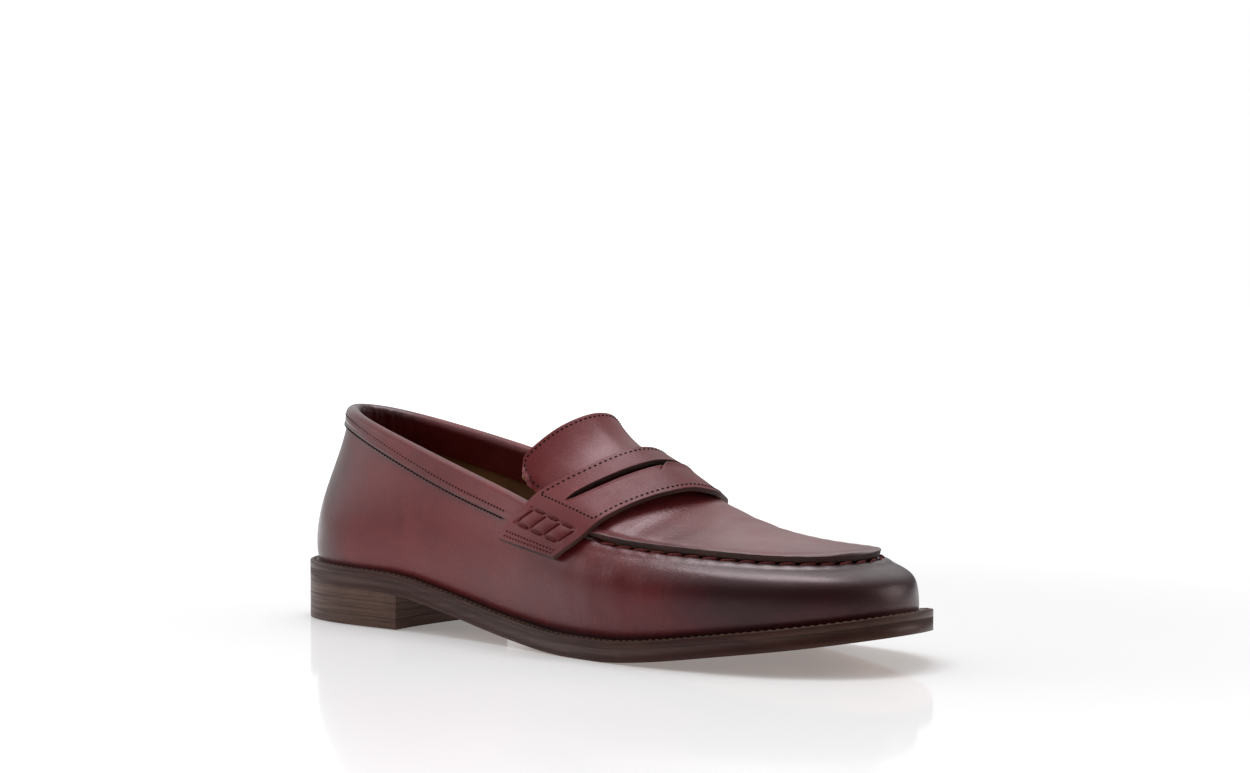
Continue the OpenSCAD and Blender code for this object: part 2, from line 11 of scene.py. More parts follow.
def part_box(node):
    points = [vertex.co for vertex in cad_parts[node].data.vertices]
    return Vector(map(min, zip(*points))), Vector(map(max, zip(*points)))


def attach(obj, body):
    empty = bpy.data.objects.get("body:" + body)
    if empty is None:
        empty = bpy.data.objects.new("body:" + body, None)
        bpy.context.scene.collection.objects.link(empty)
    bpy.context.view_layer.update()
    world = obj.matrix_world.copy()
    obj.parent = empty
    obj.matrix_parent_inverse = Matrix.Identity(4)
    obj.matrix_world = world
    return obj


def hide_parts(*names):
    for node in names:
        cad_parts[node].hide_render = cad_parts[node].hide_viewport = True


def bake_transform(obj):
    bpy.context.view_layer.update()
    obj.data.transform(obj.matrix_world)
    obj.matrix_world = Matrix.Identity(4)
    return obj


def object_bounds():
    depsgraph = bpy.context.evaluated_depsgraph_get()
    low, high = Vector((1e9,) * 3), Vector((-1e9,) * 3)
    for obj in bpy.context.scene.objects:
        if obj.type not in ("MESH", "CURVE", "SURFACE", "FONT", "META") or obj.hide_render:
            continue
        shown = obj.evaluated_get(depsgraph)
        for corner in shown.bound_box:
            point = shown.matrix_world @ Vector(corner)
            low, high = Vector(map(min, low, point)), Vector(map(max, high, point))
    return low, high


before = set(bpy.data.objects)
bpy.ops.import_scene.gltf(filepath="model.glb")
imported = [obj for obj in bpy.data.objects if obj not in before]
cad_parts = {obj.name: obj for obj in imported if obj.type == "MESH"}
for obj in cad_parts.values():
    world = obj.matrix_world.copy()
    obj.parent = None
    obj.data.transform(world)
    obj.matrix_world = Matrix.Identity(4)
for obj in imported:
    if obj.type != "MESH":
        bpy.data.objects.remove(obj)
cad_low, cad_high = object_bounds()

# ---------------------------------------------------------------- shape of the shoe
# All lengths below are millimetres, measured from the back of the outsole, as in the CAD.
OUTSOLE = 5.2
WELT = 2.8
STACK = OUTSOLE + WELT
GAP = 0.08
LEATHER = 1.6
LINING_DEPTH = LEATHER + 1.15
LINING = 0.9
INSOLE_LIFT = LINING_DEPTH + LINING + 3 * GAP
HEEL_LENGTH = 72.7
TOP_PIECE = 4.4
STRAP = 2.1
APRON = 2.0
TONGUE = 1.7

SOLE_X = [-6, 0, 40, 72, 100, 130, 158, 176, 198, 220, 250, 280, 306]
SOLE_Z = [16.2, 16.1, 15.4, 14.2, 9.6, 4.4, 1.0, 0, 0, 1.9, 6.1, 10.4, 14.6]
WELT_X = [0, 60, 130, 200, 303]
WELT_W = [3.6, 3.6, 3.8, 5.0, 5.2]
FEATHER = np.array([
    (1, -0.3), (9.7, -21.7), (32.8, -32), (75.5, -29.8), (114.6, -32.2), (155.4, -38.8),
    (194.4, -46.4), (236.5, -42.6), (276.5, -32.6), (300.5, -0.6), (290.1, 34.4), (261.5, 47.8),
    (215.5, 50.7), (170.2, 41.5), (124.6, 28.8), (80.8, 27.5), (31.6, 32.8), (9.9, 23.2),
], float)
TOPLINE = np.array([
    (9.7, 1.6, 89.8), (21.4, -11.7, 89.1), (39.9, -20.4, 84.8), (77.5, -26.7, 75.2),
    (111.5, -28.5, 64.7), (147.9, -34, 56.2), (184.9, -39.5, 43.3), (222.2, -32.8, 41.2),
    (260.6, -24.3, 39.2), (280.8, 0.2, 39.3), (274.3, 32.9, 39.5), (242.7, 35.8, 38.8),
    (202.2, 39.4, 43.5), (161.5, 38.3, 57.9), (118, 29.4, 66.4), (80, 27.5, 75.5),
    (35.1, 22.5, 84.8), (17.4, 14.2, 88.8),
], float)
FULLNESS = np.array([
    (23.4, 5.6, 23.2, 0.6), (24.8, 3.8, 23.4, 2.3), (21.4, 3.3, 21.2, 5), (18.5, 4.2, 20.7, 4.3),
    (15.5, 3.7, 15.8, 4.6), (15.6, 5.3, 12.2, 7.6), (18.2, 5.1, 7.6, 12.9), (19.2, 4.3, 5.3, 12.3),
    (15.6, 1.4, 4.1, 12.9), (14.9, 0.4, 5.3, 13.1), (13.3, -1.6, 7, 15.6), (17.6, 2.3, 6.7, 11.8),
    (17.8, 4.9, 8.1, 12.1), (16, 4.9, 12, 8.6), (14.3, 5.3, 15.8, 7.6), (16.9, 3.6, 20.6, 3),
    (20, 4.2, 21.7, 4.8), (22.9, 3.6, 24.7, 1.6),
], float)
UP = np.array([0.0, 0.0, 1.0])


def unit(v):
    return v / np.maximum(np.linalg.norm(v, axis=-1, keepdims=True), 1e-9)


def mix(a, b, t):
    return a + (b - a) * t


def ease(t):
    c = np.clip(t, 0, 1)
    return c * c * (3 - 2 * c)


def spline(a, b, c, d, t):
    return 0.5 * (2 * b + (c - a) * t + (2 * a - 5 * b + 4 * c - d) * t * t + (3 * b - a - 3 * c + d) * t**3)


def rounded(a, b, c, d, t):
    inner = b * (3 * t**3 - 6 * t * t + 4) + c * (3 * (t + t * t - t**3) + 1)
    return (a * (1 - t) ** 3 + inner + d * t**3) / 6


def loop_at(k, u):
    """Point of a closed run of stations at u, which may be any array."""
    u = np.asarray(u, float)
    i = np.floor(u).astype(int)
    t = (u - i)[..., None]
    n = len(k)
    return rounded(k[(i - 1) % n], k[i % n], k[(i + 1) % n], k[(i + 2) % n], t)


def path_at(k, u):
    """Point of an open run of points at u."""
    u = np.asarray(u, float)
    n = len(k)
    ext = np.vstack([2 * k[0] - k[1], k, 2 * k[-1] - k[-2]])
    i = np.clip(np.floor(u).astype(int), 0, n - 2)
    t = (u - i)[..., None]
    return spline(ext[i], ext[i + 1], ext[i + 2], ext[i + 3], t)


def curve(xs, ys, v):
    """Smooth curve through the points (xs, ys) at v."""
    x = np.asarray(xs, float)
    y = np.asarray(ys, float)
    s = np.empty(len(x))
    s[0] = (y[1] - y[0]) / (x[1] - x[0])
    s[-1] = (y[-1] - y[-2]) / (x[-1] - x[-2])
    s[1:-1] = (y[2:] - y[:-2]) / (x[2:] - x[:-2])
    v = np.asarray(v, float)
    i = np.clip(np.searchsorted(x, v, side="right") - 1, 0, len(x) - 2)
    w = x[i + 1] - x[i]
    t = (v - x[i]) / w
    a = y[i] * (1 + 2 * t) * (1 - t) ** 2 + s[i] * w * t * (1 - t) ** 2
    return a + y[i + 1] * t * t * (3 - 2 * t) - s[i + 1] * w * t * t * (1 - t)


def sole_under(x):
    z = np.maximum(0, curve(SOLE_X, SOLE_Z, x))
    return np.where((x > 176) & (x < 198), 0.0, z)


def outward(u):
    d = loop_at(FEATHER, np.asarray(u) + 0.02) - loop_at(FEATHER, np.asarray(u) - 0.02)
    d = unit(d)
    return np.stack([d[..., 1], -d[..., 0]], -1)


def foot_line(u, grow):
    g = np.asarray(grow, float)
    return loop_at(FEATHER, u) + outward(u) * (g[..., None] if g.ndim else g)


def welt_line(u, grow):
    x = np.clip(loop_at(FEATHER, u)[..., 0], 0, 303)
    return foot_line(u, curve(WELT_X, WELT_W, x) + grow)


def on_level(p, lift):
    return np.concatenate([p, (sole_under(p[..., 0]) + lift)[..., None]], -1)


def wall(u, v):
    """The outer face of the lasted side: u runs round the shoe, v from the welt to the top."""
    u, v = np.broadcast_arrays(np.asarray(u, float), np.asarray(v, float))
    b = on_level(foot_line(u, 0.0), STACK + GAP)
    t = loop_at(TOPLINE, u)
    h = loop_at(FULLNESS, u)
    o = outward(u)
    out = np.concatenate([o, np.zeros(o.shape[:-1] + (1,))], -1)
    c1 = b + UP * h[..., 0:1] + out * h[..., 1:2]
    c2 = t - UP * h[..., 2:3] + out * h[..., 3:4]
    s = v[..., None]
    r = 1 - s
    return b * r**3 + c1 * 3 * s * r * r + c2 * 3 * s * s * r + t * s**3


def wall_normal(u, v):
    u, v = np.broadcast_arrays(np.asarray(u, float), np.asarray(v, float))
    return unit(np.cross(wall(u + 0.02, v) - wall(u - 0.02, v), wall(u, v + 0.01) - wall(u, v - 0.01)))


def on_wall(u, v, lift):
    w = np.asarray(lift, float)
    return wall(u, v) + wall_normal(u, v) * (w[..., None] if w.ndim else w)


# ---- apron
APRON_K = [0, 0.5, 1, 1.5, 2, 2.5, 3, 3.5]
APRON_H = [0.3, 1.2, 2.0, 2.9, 4.4, 7.5, 13, 18.2]


def arch_point(k, t):
    k, t = np.broadcast_arrays(np.asarray(k, float), np.asarray(t, float))
    a = loop_at(TOPLINE, 9 - k)
    b = loop_at(TOPLINE, 9 + k)
    p = mix(3, 1.85, ease(k / 3.2))
    lift = curve(APRON_K, APRON_H, k) * (1 - np.abs(t) ** p)
    return mix(a, b, ((t + 1) / 2)[..., None]) + UP * lift[..., None]


# ---- saddle strap
LIFT = STRAP + 1.3
STRAP_REAR = np.array([
    on_wall(4.664, 0.624, LIFT), on_wall(4.82, 0.806, LIFT), on_wall(4.98, 0.95, LIFT),
    (151, -33.4, 61), (157, -29.2, 65.3), (164.5, -22, 70.4), (170, -13, 74.8), (173.6, -2, 77.6),
    (174, 9.5, 77), (170, 20.5, 73.3), (163.8, 28.7, 69), (158, 34.8, 64.8),
    on_wall(13.28, 0.95, LIFT), on_wall(13.46, 0.806, LIFT), on_wall(13.6, 0.624, LIFT),
])
STRAP_FRONT = np.array([
    on_wall(5.611, 0.641, LIFT), on_wall(5.795, 0.783, LIFT), on_wall(5.9, 0.92, LIFT),
    (186, -36.5, 52.3), (190, -28.5, 56.6), (194.4, -19.5, 60), (198.6, -10, 62.3), (201, 1, 63.2),
    (201, 12, 61.6), (197.6, 22.2, 59.5), (192.6, 31.2, 57.4), (188.2, 38.8, 54.6),
    on_wall(12.48, 0.92, LIFT), on_wall(12.64, 0.783, LIFT), on_wall(12.73, 0.641, LIFT),
])
SLOT_FROM = 3.15
SLOT_TO = 11.15
SLOT_LINE = 0.42
SLOT_WIDTH = 0.12


def strap_at(j, w):
    j, w = np.broadcast_arrays(np.asarray(j, float), np.asarray(w, float))
    a = path_at(STRAP_REAR, j)
    b = path_at(STRAP_FRONT, j)
    along = path_at(STRAP_REAR, j + 0.05) - path_at(STRAP_REAR, j - 0.05)
    lift = np.sin(np.pi * np.clip(w, 0, 1)) * 0.7
    return mix(a, b, w[..., None]) - unit(np.cross(along, b - a)) * lift[..., None]


def strap_normal(j, w):
    across = strap_at(j, w + 0.05) - strap_at(j, w - 0.05)
    return unit(np.cross(across, strap_at(j + 0.05, w) - strap_at(j - 0.05, w)))


def on_strap(j, w, lift):
    j, w = np.broadcast_arrays(np.asarray(j, float), np.asarray(w, float))
    return strap_at(j, w) + strap_normal(j, w) * lift


def slot_half(j):
    s = (2 * j - SLOT_FROM - SLOT_TO) / (SLOT_TO - SLOT_FROM)
    return SLOT_WIDTH / 2 * (1 - np.minimum(1, np.abs(s) ** 9))


# ---- tongue
TONGUE_EDGE = np.array([
    (144.5, -31, 65.2), (139, -29, 72.8), (141.5, -22, 79.8), (145.8, -12.5, 86.1), (150, -1, 89.9),
    (150.4, 10.5, 89.2), (146.2, 21, 84.4), (142.2, 29.5, 77.2), (148, 32.4, 68.4),
], float)


def tongue_root(c):
    w = 0.06 * np.sin(np.pi * c / 8) - 0.045
    return on_strap(mix(3.05, 11, c / 8), w, -STRAP - 1.0)


def tongue_at(c, w):
    """Surface of the tongue. w below 0 is the part that runs forward under the strap."""
    c, w = np.broadcast_arrays(np.asarray(c, float), np.asarray(w, float))
    a = tongue_root(c)
    b = path_at(TONGUE_EDGE, c)
    hollow = np.array([-0.5, 0, -0.86]) * 1.6
    p = mix(a, b, np.maximum(w, 0)[..., None]) + hollow * np.sin(np.pi * np.clip(w, 0, 1))[..., None]
    ahead = strap_at(mix(3.05, 11, c / 8), 0.5) - strap_at(mix(3.05, 11, c / 8), 0.0)
    down = np.minimum(w, 0)[..., None]
    return p - ahead * down + UP * down * 2.0


# ---- collar
def collar_low(u):
    return curve([0, 1.7, 3.7, 5], [0.885, 0.88, 0.8, 0.78], np.abs(u))


ROLL = 2.575

# ---------------------------------------------------------------- from the shoe's own frame to the CAD's
ring = welt_line(np.linspace(0, 18, 721)[:-1], 0.0)
welt_low, welt_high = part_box("welt")
mid = (ring.min(0) + ring.max(0)) / 2
# 500 halves the sum and turns metres into millimetres
shift_x = mid[0] - 500 * (welt_low.x + welt_high.x)
shift_y = mid[1] - 500 * (welt_low.y + welt_high.y)
shift = np.array([shift_x, shift_y, 0.0])


def placed(p):
    return (np.asarray(p) - shift) * 0.001


# ---------------------------------------------------------------- mesh builders
def new_object(name, points, faces, materials, slots=None, uvs=None, shade=None):
    mesh = bpy.data.meshes.new(name)
    mesh.from_pydata(placed(points).tolist(), [], faces)
    for m in materials:
        mesh.materials.append(m)
    if slots is not None:
        mesh.polygons.foreach_set("material_index", np.asarray(slots, np.int32))
    mesh.polygons.foreach_set("use_smooth", np.ones(len(mesh.polygons), bool))
    if uvs is not None:
        layer = mesh.uv_layers.new(name="UVMap")
        loops = np.empty(len(mesh.loops), np.int32)
        mesh.loops.foreach_get("vertex_index", loops)
        layer.data.foreach_set("uv", np.asarray(uvs, np.float32)[loops].ravel())
    if shade is not None:
        tone = mesh.attributes.new("shade", "FLOAT", "POINT")
        tone.data.foreach_set("value", np.asarray(shade, np.float32).ravel())
    mesh.update()
    obj = bpy.data.objects.new(name, mesh)
    bpy.context.scene.collection.objects.link(obj)
    return obj


def soften(obj, width=0.35):
    """Rounds the cut edges of a leather piece."""
    bevel = obj.modifiers.new("rounded_edges", "BEVEL")
    bevel.width = width * 0.001
    bevel.segments = 2
    bevel.limit_method = "ANGLE"
    bevel.angle_limit = math.radians(38)
    bevel.harden_normals = False
    bevel.use_clamp_overlap = True
    facing = obj.modifiers.new("facing", "WEIGHTED_NORMAL")
    facing.keep_sharp = False


def grid_normals(g):
    return unit(np.cross(np.gradient(g, axis=0), np.gradient(g, axis=1)))


def grid_lengths(g):
    """Running length along and across a grid, in metres, used as its UV map."""
    a = np.linalg.norm(np.diff(g, axis=0), axis=-1)
    b = np.linalg.norm(np.diff(g, axis=1), axis=-1)
    u = np.zeros(g.shape[:2])
    v = np.zeros(g.shape[:2])
    u[1:] = np.cumsum(a.mean(1))[:, None]
    v[:, 1:] = np.cumsum(b, axis=1)
    return np.stack([u, v], -1) * 0.001


def quads(n, m, closed, flip, base=0):
    last = n if closed else n - 1
    i, j = np.meshgrid(np.arange(last), np.arange(m - 1), indexing="ij")
    i, j = i.ravel(), j.ravel()
    a = i * m + j
    b = ((i + 1) % n) * m + j
    q = np.stack([a, b, b + 1, a + 1], -1) + base
    return q[:, ::-1] if flip else q


def rim_faces(n, m, far=True):
    """Faces that close the rim between a grid of n by m points and its copy that follows it."""
    s = n * m
    sides = []
    for i in range(n - 1):
        a, b = i * m, (i + 1) * m
        sides.append((b, a, s + a, s + b))
        if far:
            sides.append((a + m - 1, b + m - 1, s + b + m - 1, s + a + m - 1))
    for j in range(m - 1):
        sides.append((j, j + 1, s + j + 1, s + j))
        a = (n - 1) * m + j
        sides.append((a + 1, a, s + a, s + a + 1))
    return sides


def shell(name, top, low, materials, far=True, uv=None, tone=None):
    """A solid between two grids of points; materials are grain side, cut edge and flesh side."""
    n, m = top.shape[:2]
    up = quads(n, m, False, False)
    down = quads(n, m, False, True, n * m)
    sides = rim_faces(n, m, far)
    faces = up.tolist() + down.tolist() + sides
    slots = [0] * len(up) + [2] * len(down) + [1] * len(sides)
    points = np.concatenate([top.reshape(-1, 3), low.reshape(-1, 3)])
    if uv is not None:
        uv = np.concatenate([uv.reshape(-1, 2)] * 2)
    if tone is not None:
        tone = np.concatenate([np.broadcast_to(tone, (n, m)).ravel()] * 2)
    return new_object(name, points, faces, materials, slots, uv, tone)


def leather(name, g, outer, inner, materials, bevel, tone=None):
    """A leather piece between two distances from a grid, with rounded cut edges."""
    nrm = grid_normals(g)
    obj = shell(name, g + nrm * outer, g + nrm * inner, materials, uv=grid_lengths(g), tone=tone)
    soften(obj, bevel)
    return obj


def weld(obj):
    """Joins the points that coincide and turns every face outward."""
    bm = bmesh.new()
    bm.from_mesh(obj.data)
    bmesh.ops.remove_doubles(bm, verts=bm.verts, dist=2e-6)
    bmesh.ops.recalc_face_normals(bm, faces=bm.faces)
    bm.to_mesh(obj.data)
    bm.free()


def slab_mesh(outline, cuts):
    """Prism of height 1 on this plan outline, sliced along x so that it can curve."""
    bm = bmesh.new()
    n = len(outline)
    bottom = [bm.verts.new((x, y, 0)) for x, y in outline]
    top = [bm.verts.new((x, y, 1)) for x, y in outline]
    bm.faces.new(bottom[::-1])
    bm.faces.new(top)
    for i in range(n):
        j = (i + 1) % n
        bm.faces.new((bottom[i], bottom[j], top[j], top[i]))
    for x in cuts:
        geom = bm.verts[:] + bm.edges[:] + bm.faces[:]
        bmesh.ops.bisect_plane(bm, geom=geom, plane_co=(x, 0, 0), plane_no=(1, 0, 0), dist=1e-5)
    bm.verts.index_update()
    return bm


def slab(name, outline, low, high, materials, cuts, bevel):
    """A solid on this plan outline between two heights that are functions of x."""
    bm = slab_mesh(outline, cuts)
    co = np.array([v.co for v in bm.verts])
    x = co[:, 0]
    z = np.where(co[:, 2] > 0.5, high(x), low(x))
    faces = []
    slots = []
    for f in bm.faces:
        faces.append([v.index for v in f.verts])
        if abs(f.normal.z) > 0.5:
            slots.append(0 if f.verts[0].co.z > 0.5 else 2)
        else:
            slots.append(1)
    bm.free()
    obj = new_object(name, np.stack([x, co[:, 1], z], -1), faces, materials, slots)
    if bevel:
        soften(obj, bevel)
    return obj


# ---------------------------------------------------------------- materials
def new_material(name):
    """A material with its node tree, its principled shader and the object's own coordinates."""
    mat = bpy.data.materials.new(name)
    mat.use_nodes = True
    nt = mat.node_tree
    nt.nodes.clear()
    out = nt.nodes.new("ShaderNodeOutputMaterial")
    bsdf = nt.nodes.new("ShaderNodeBsdfPrincipled")
    nt.links.new(bsdf.outputs[0], out.inputs[0])
    tc = nt.nodes.new("ShaderNodeTexCoord")
    return mat, nt, bsdf, tc.outputs["Object"]


def noise(nt, vec, scale, detail=3.0, rough=0.55, stretch=None):
    if stretch:
        m = nt.nodes.new("ShaderNodeMapping")
        m.inputs["Scale"].default_value = stretch
        nt.links.new(vec, m.inputs["Vector"])
        vec = m.outputs[0]
    n = nt.nodes.new("ShaderNodeTexNoise")
    n.inputs["Scale"].default_value = scale
    n.inputs["Detail"].default_value = detail
    n.inputs["Roughness"].default_value = rough
    nt.links.new(vec, n.inputs["Vector"])
    return n.outputs["Fac"]


def remap(nt, value, lo, hi, a=0.0, b=1.0, smooth=True):
    n = nt.nodes.new("ShaderNodeMapRange")
    n.interpolation_type = "SMOOTHSTEP" if smooth else "LINEAR"
    nt.links.new(value, n.inputs["Value"])
    n.inputs["From Min"].default_value = lo
    n.inputs["From Max"].default_value = hi
    n.inputs["To Min"].default_value = a
    n.inputs["To Max"].default_value = b
    return n.outputs["Result"]


def math_node(nt, op, a, b):
    n = nt.nodes.new("ShaderNodeMath")
    n.operation = op
    for i, v in enumerate((a, b)):
        if isinstance(v, (int, float)):
            n.inputs[i].default_value = v
        else:
            nt.links.new(v, n.inputs[i])
    return n.outputs[0]


def blend_colour(nt, fac, a, b):
    n = nt.nodes.new("ShaderNodeMix")
    n.data_type = "RGBA"
    n.blend_type = "MIX"
    nt.links.new(fac, n.inputs[0])
    for i, v in ((6, a), (7, b)):
        if isinstance(v, tuple):
            n.inputs[i].default_value = v
        else:
            nt.links.new(v, n.inputs[i])
    return n.outputs[2]


def srgb(r, g, b):
    def lin(c):
        c /= 255
        return c / 12.92 if c <= 0.04045 else ((c + 0.055) / 1.055) ** 2.4
    return (lin(r), lin(g), lin(b), 1.0)


def bump(nt, bsdf, layers):
    """Chains bump layers, each (height, strength, distance in metres)."""
    last = None
    for height, strength, dist in layers:
        n = nt.nodes.new("ShaderNodeBump")
        n.inputs["Strength"].default_value = strength
        n.inputs["Distance"].default_value = dist
        nt.links.new(height, n.inputs["Height"])
        if last is not None:
            nt.links.new(last, n.inputs["Normal"])
        last = n.outputs[0]
    nt.links.new(last, bsdf.inputs["Normal"])


def grain_height(nt, vec, scale):
    """Fine pebbled pores of calf leather."""
    v = nt.nodes.new("ShaderNodeTexVoronoi")
    v.feature = "DISTANCE_TO_EDGE"
    v.inputs["Scale"].default_value = scale
    nt.links.new(vec, v.inputs["Vector"])
    return remap(nt, v.outputs["Distance"], 0.0, 0.35)


def burnish_and_shade_mask(nt, cloud, patch):
    """How far the leather is darkened by burnishing and painted shade: the mesh's own shade attribute, made
    uneven.
    """
    tone = nt.nodes.new("ShaderNodeAttribute")
    tone.attribute_name = "shade"
    tone = tone.outputs["Fac"]
    uneven = math_node(nt, "MULTIPLY", math_node(nt, "SUBTRACT", patch, 0.5), 0.9)
    soft = math_node(nt, "MULTIPLY", math_node(nt, "SUBTRACT", cloud, 0.5), 0.5)
    burnish_and_shade = math_node(nt, "ADD", tone, math_node(nt, "ADD", uneven, soft))
    burnish_and_shade = remap(nt, burnish_and_shade, 0.05, 1.0, 0.0, 1.0, False)
    return math_node(nt, "MULTIPLY", burnish_and_shade, remap(nt, tone, 0.0, 0.3))


def crease_layers(nt, pos, x, high, creases):
    """Fine creases and speckle over the ball of the foot, as bump layers."""
    where = remap(nt, x, 0.015, 0.05)
    gone = remap(nt, x, 0.075, 0.11, 1.0, 0.0)
    place = math_node(nt, "MULTIPLY", where, gone)
    fold = noise(nt, pos, 60, 5, 0.6, stretch=(1.0, 0.25, 0.25))
    speckle = math_node(nt, "MULTIPLY", noise(nt, pos, 420, 4, 0.65), high)
    return [
        (math_node(nt, "MULTIPLY", place, fold), creases, 0.0016),
        (math_node(nt, "MULTIPLY", place, speckle), creases, 0.0008),
    ]


def calf(name, tones, rough=0.32, coat=0.12, creases=0.0, grain=0.2, gloss=0.45):
    """Semi-gloss hand-burnished calf; tones are base, deep, glow and dark, the dark for burnishing and
    painted shade.
    """
    base, deep, glow, dark = tones
    mat, nt, bsdf, pos = new_material(name)
    sep = nt.nodes.new("ShaderNodeSeparateXYZ")
    nt.links.new(pos, sep.inputs[0])
    cloud = noise(nt, pos, 14, 4, 0.55)
    patch = noise(nt, pos, 60, 6, 0.65)
    fine = noise(nt, pos, 900, 3, 0.6)
    brushed = noise(nt, pos, 26, 6, 0.7, stretch=(0.6, 0.6, 3.5))
    col = blend_colour(nt, remap(nt, cloud, 0.34, 0.68), base, deep)
    col = blend_colour(nt, remap(nt, patch, 0.48, 0.8, 0.0, 0.45), col, glow)
    col = blend_colour(nt, remap(nt, brushed, 0.5, 0.78, 0.0, 0.35), col, deep)
    col = blend_colour(nt, remap(nt, fine, 0.52, 0.75, 0.0, 0.22), col, deep)
    # mask of burnishing and painted shade, which mixes in the dark tone
    mask = burnish_and_shade_mask(nt, cloud, patch)
    nt.links.new(blend_colour(nt, mask, col, dark), bsdf.inputs["Base Color"])
    nt.links.new(remap(nt, patch, 0.3, 0.7, rough - 0.04, rough + 0.07), bsdf.inputs["Roughness"])
    bsdf.inputs["Specular IOR Level"].default_value = gloss
    bsdf.inputs["Specular Tint"].default_value = (1.0, 0.64, 0.68, 1.0)
    # the parts darkened by burnishing and painted shade are polished, except low down by the welt
    high = remap(nt, sep.outputs[2], 0.028, 0.043, 0.1, 1.0)
    polish = math_node(nt, "MULTIPLY", remap(nt, mask, 0.1, 0.9, 0.0, 0.5), high)
    nt.links.new(math_node(nt, "ADD", polish, coat), bsdf.inputs["Coat Weight"])
    bsdf.inputs["Coat Roughness"].default_value = 0.27
    layers = [
        (noise(nt, pos, 38, 3, 0.5), 0.22, 0.001),
        (grain_height(nt, pos, 1500), grain, 0.00012),
        (fine, 0.3, 0.00015),
    ]
    if creases:
        layers += crease_layers(nt, pos, sep.outputs[0], high, creases)
    bump(nt, bsdf, layers)
    return mat


def plain_leather(name, base, deep, rough, scale, strength=0.35, coat=0.0, stretch=None, contrast=0.5):
    """Matt leather and other plain fibres: two tones, broken up coarsely and finely."""
    mat, nt, bsdf, pos = new_material(name)
    big = noise(nt, pos, 35, 4, 0.6)
    small = noise(nt, pos, scale, 4, 0.6, stretch)
    col = blend_colour(nt, remap(nt, big, 0.35, 0.68), base, deep)
    col = blend_colour(nt, remap(nt, small, 0.45, 0.75, 0.0, contrast), col, deep)
    nt.links.new(col, bsdf.inputs["Base Color"])
    nt.links.new(remap(nt, big, 0.3, 0.7, rough - 0.06, rough + 0.06), bsdf.inputs["Roughness"])
    bsdf.inputs["Coat Weight"].default_value = coat
    bsdf.inputs["Coat Roughness"].default_value = 0.3
    bump(nt, bsdf, [(small, strength, 0.00025), (big, 0.2, 0.0008)])
    return mat


def layered_edge(name, base, deep, pale, layers):
    """Burnished sole or heel edge: leather laid in thin levels, streaked along its length."""
    mat, nt, bsdf, pos = new_material(name)
    big = noise(nt, pos, 22, 4, 0.6)
    streak = noise(nt, pos, 14, 6, 0.68, stretch=(2.5, 2.5, layers))
    fleck = noise(nt, pos, 420, 3, 0.6, stretch=(0.5, 0.5, 1.6))
    col = blend_colour(nt, remap(nt, streak, 0.34, 0.68), base, deep)
    col = blend_colour(nt, remap(nt, big, 0.5, 0.8, 0.0, 0.55), col, pale)
    col = blend_colour(nt, remap(nt, fleck, 0.5, 0.75, 0.0, 0.35), col, deep)
    nt.links.new(col, bsdf.inputs["Base Color"])
    nt.links.new(remap(nt, streak, 0.3, 0.7, 0.35, 0.52), bsdf.inputs["Roughness"])
    bsdf.inputs["Specular IOR Level"].default_value = 0.32
    bsdf.inputs["Specular Tint"].default_value = (1.0, 0.72, 0.64, 1.0)
    bsdf.inputs["Coat Weight"].default_value = 0.05
    bsdf.inputs["Coat Roughness"].default_value = 0.25
    bump(nt, bsdf, [(streak, 0.14, 0.0002), (fleck, 0.2, 0.00012)])
    return mat


def thread_material(name, base, deep):
    mat, nt, bsdf, pos = new_material(name)
    ply = noise(nt, pos, 2600, 2, 0.5)
    tone = noise(nt, pos, 120, 2, 0.5)
    col = blend_colour(nt, remap(nt, ply, 0.4, 0.62), base, deep)
    col = blend_colour(nt, remap(nt, tone, 0.45, 0.7, 0.0, 0.5), col, deep)
    nt.links.new(col, bsdf.inputs["Base Color"])
    bsdf.inputs["Roughness"].default_value = 0.65
    bsdf.inputs["Specular IOR Level"].default_value = 0.12
    bump(nt, bsdf, [(ply, 0.6, 0.0002)])
    return mat


def metal(name, base, rough):
    mat, nt, bsdf, pos = new_material(name)
    brushed = noise(nt, pos, 300, 4, 0.6, stretch=(0.1, 3.0, 3.0))
    darker = (base[0] * 0.6, base[1] * 0.6, base[2] * 0.6, 1)
    col = blend_colour(nt, remap(nt, brushed, 0.4, 0.7, 0.0, 0.4), base, darker)
    nt.links.new(col, bsdf.inputs["Base Color"])
    nt.links.new(remap(nt, brushed, 0.3, 0.7, rough - 0.08, rough + 0.1), bsdf.inputs["Roughness"])
    bsdf.inputs["Metallic"].default_value = 1.0
    bump(nt, bsdf, [(brushed, 0.15, 0.0002)])
    return mat


OXBLOOD = (srgb(110, 36, 37), srgb(82, 22, 25), srgb(132, 52, 50), srgb(36, 9, 12))
INNER_RED = (srgb(92, 20, 20), srgb(62, 9, 10), srgb(112, 34, 31), srgb(36, 8, 8))

oxblood_wall = calf("oxblood_wall", OXBLOOD, creases=0.4)
oxblood_top = calf("oxblood_top", OXBLOOD, rough=0.34, creases=0.5)
oxblood_apron = calf("oxblood_apron", OXBLOOD, rough=0.37, coat=0.42, creases=0.35)
oxblood_strap = calf("oxblood_strap", OXBLOOD, rough=0.38, coat=0.04, gloss=0.36)
oxblood_collar = calf("oxblood_collar", OXBLOOD, rough=0.36, coat=0.1)
collar_red = calf("collar_red", INNER_RED, rough=0.4, grain=0.45)
edge_dye = plain_leather("edge_dye", srgb(72, 43, 35), srgb(46, 27, 23), 0.7, 900)
flesh = plain_leather("flesh_side", srgb(120, 84, 56), srgb(92, 62, 42), 0.85, 1400, 0.5)
tan_lining = plain_leather(
    "tan_lining", srgb(139, 103, 66), srgb(112, 78, 46), 0.62, 1100, 0.25, contrast=0.3)
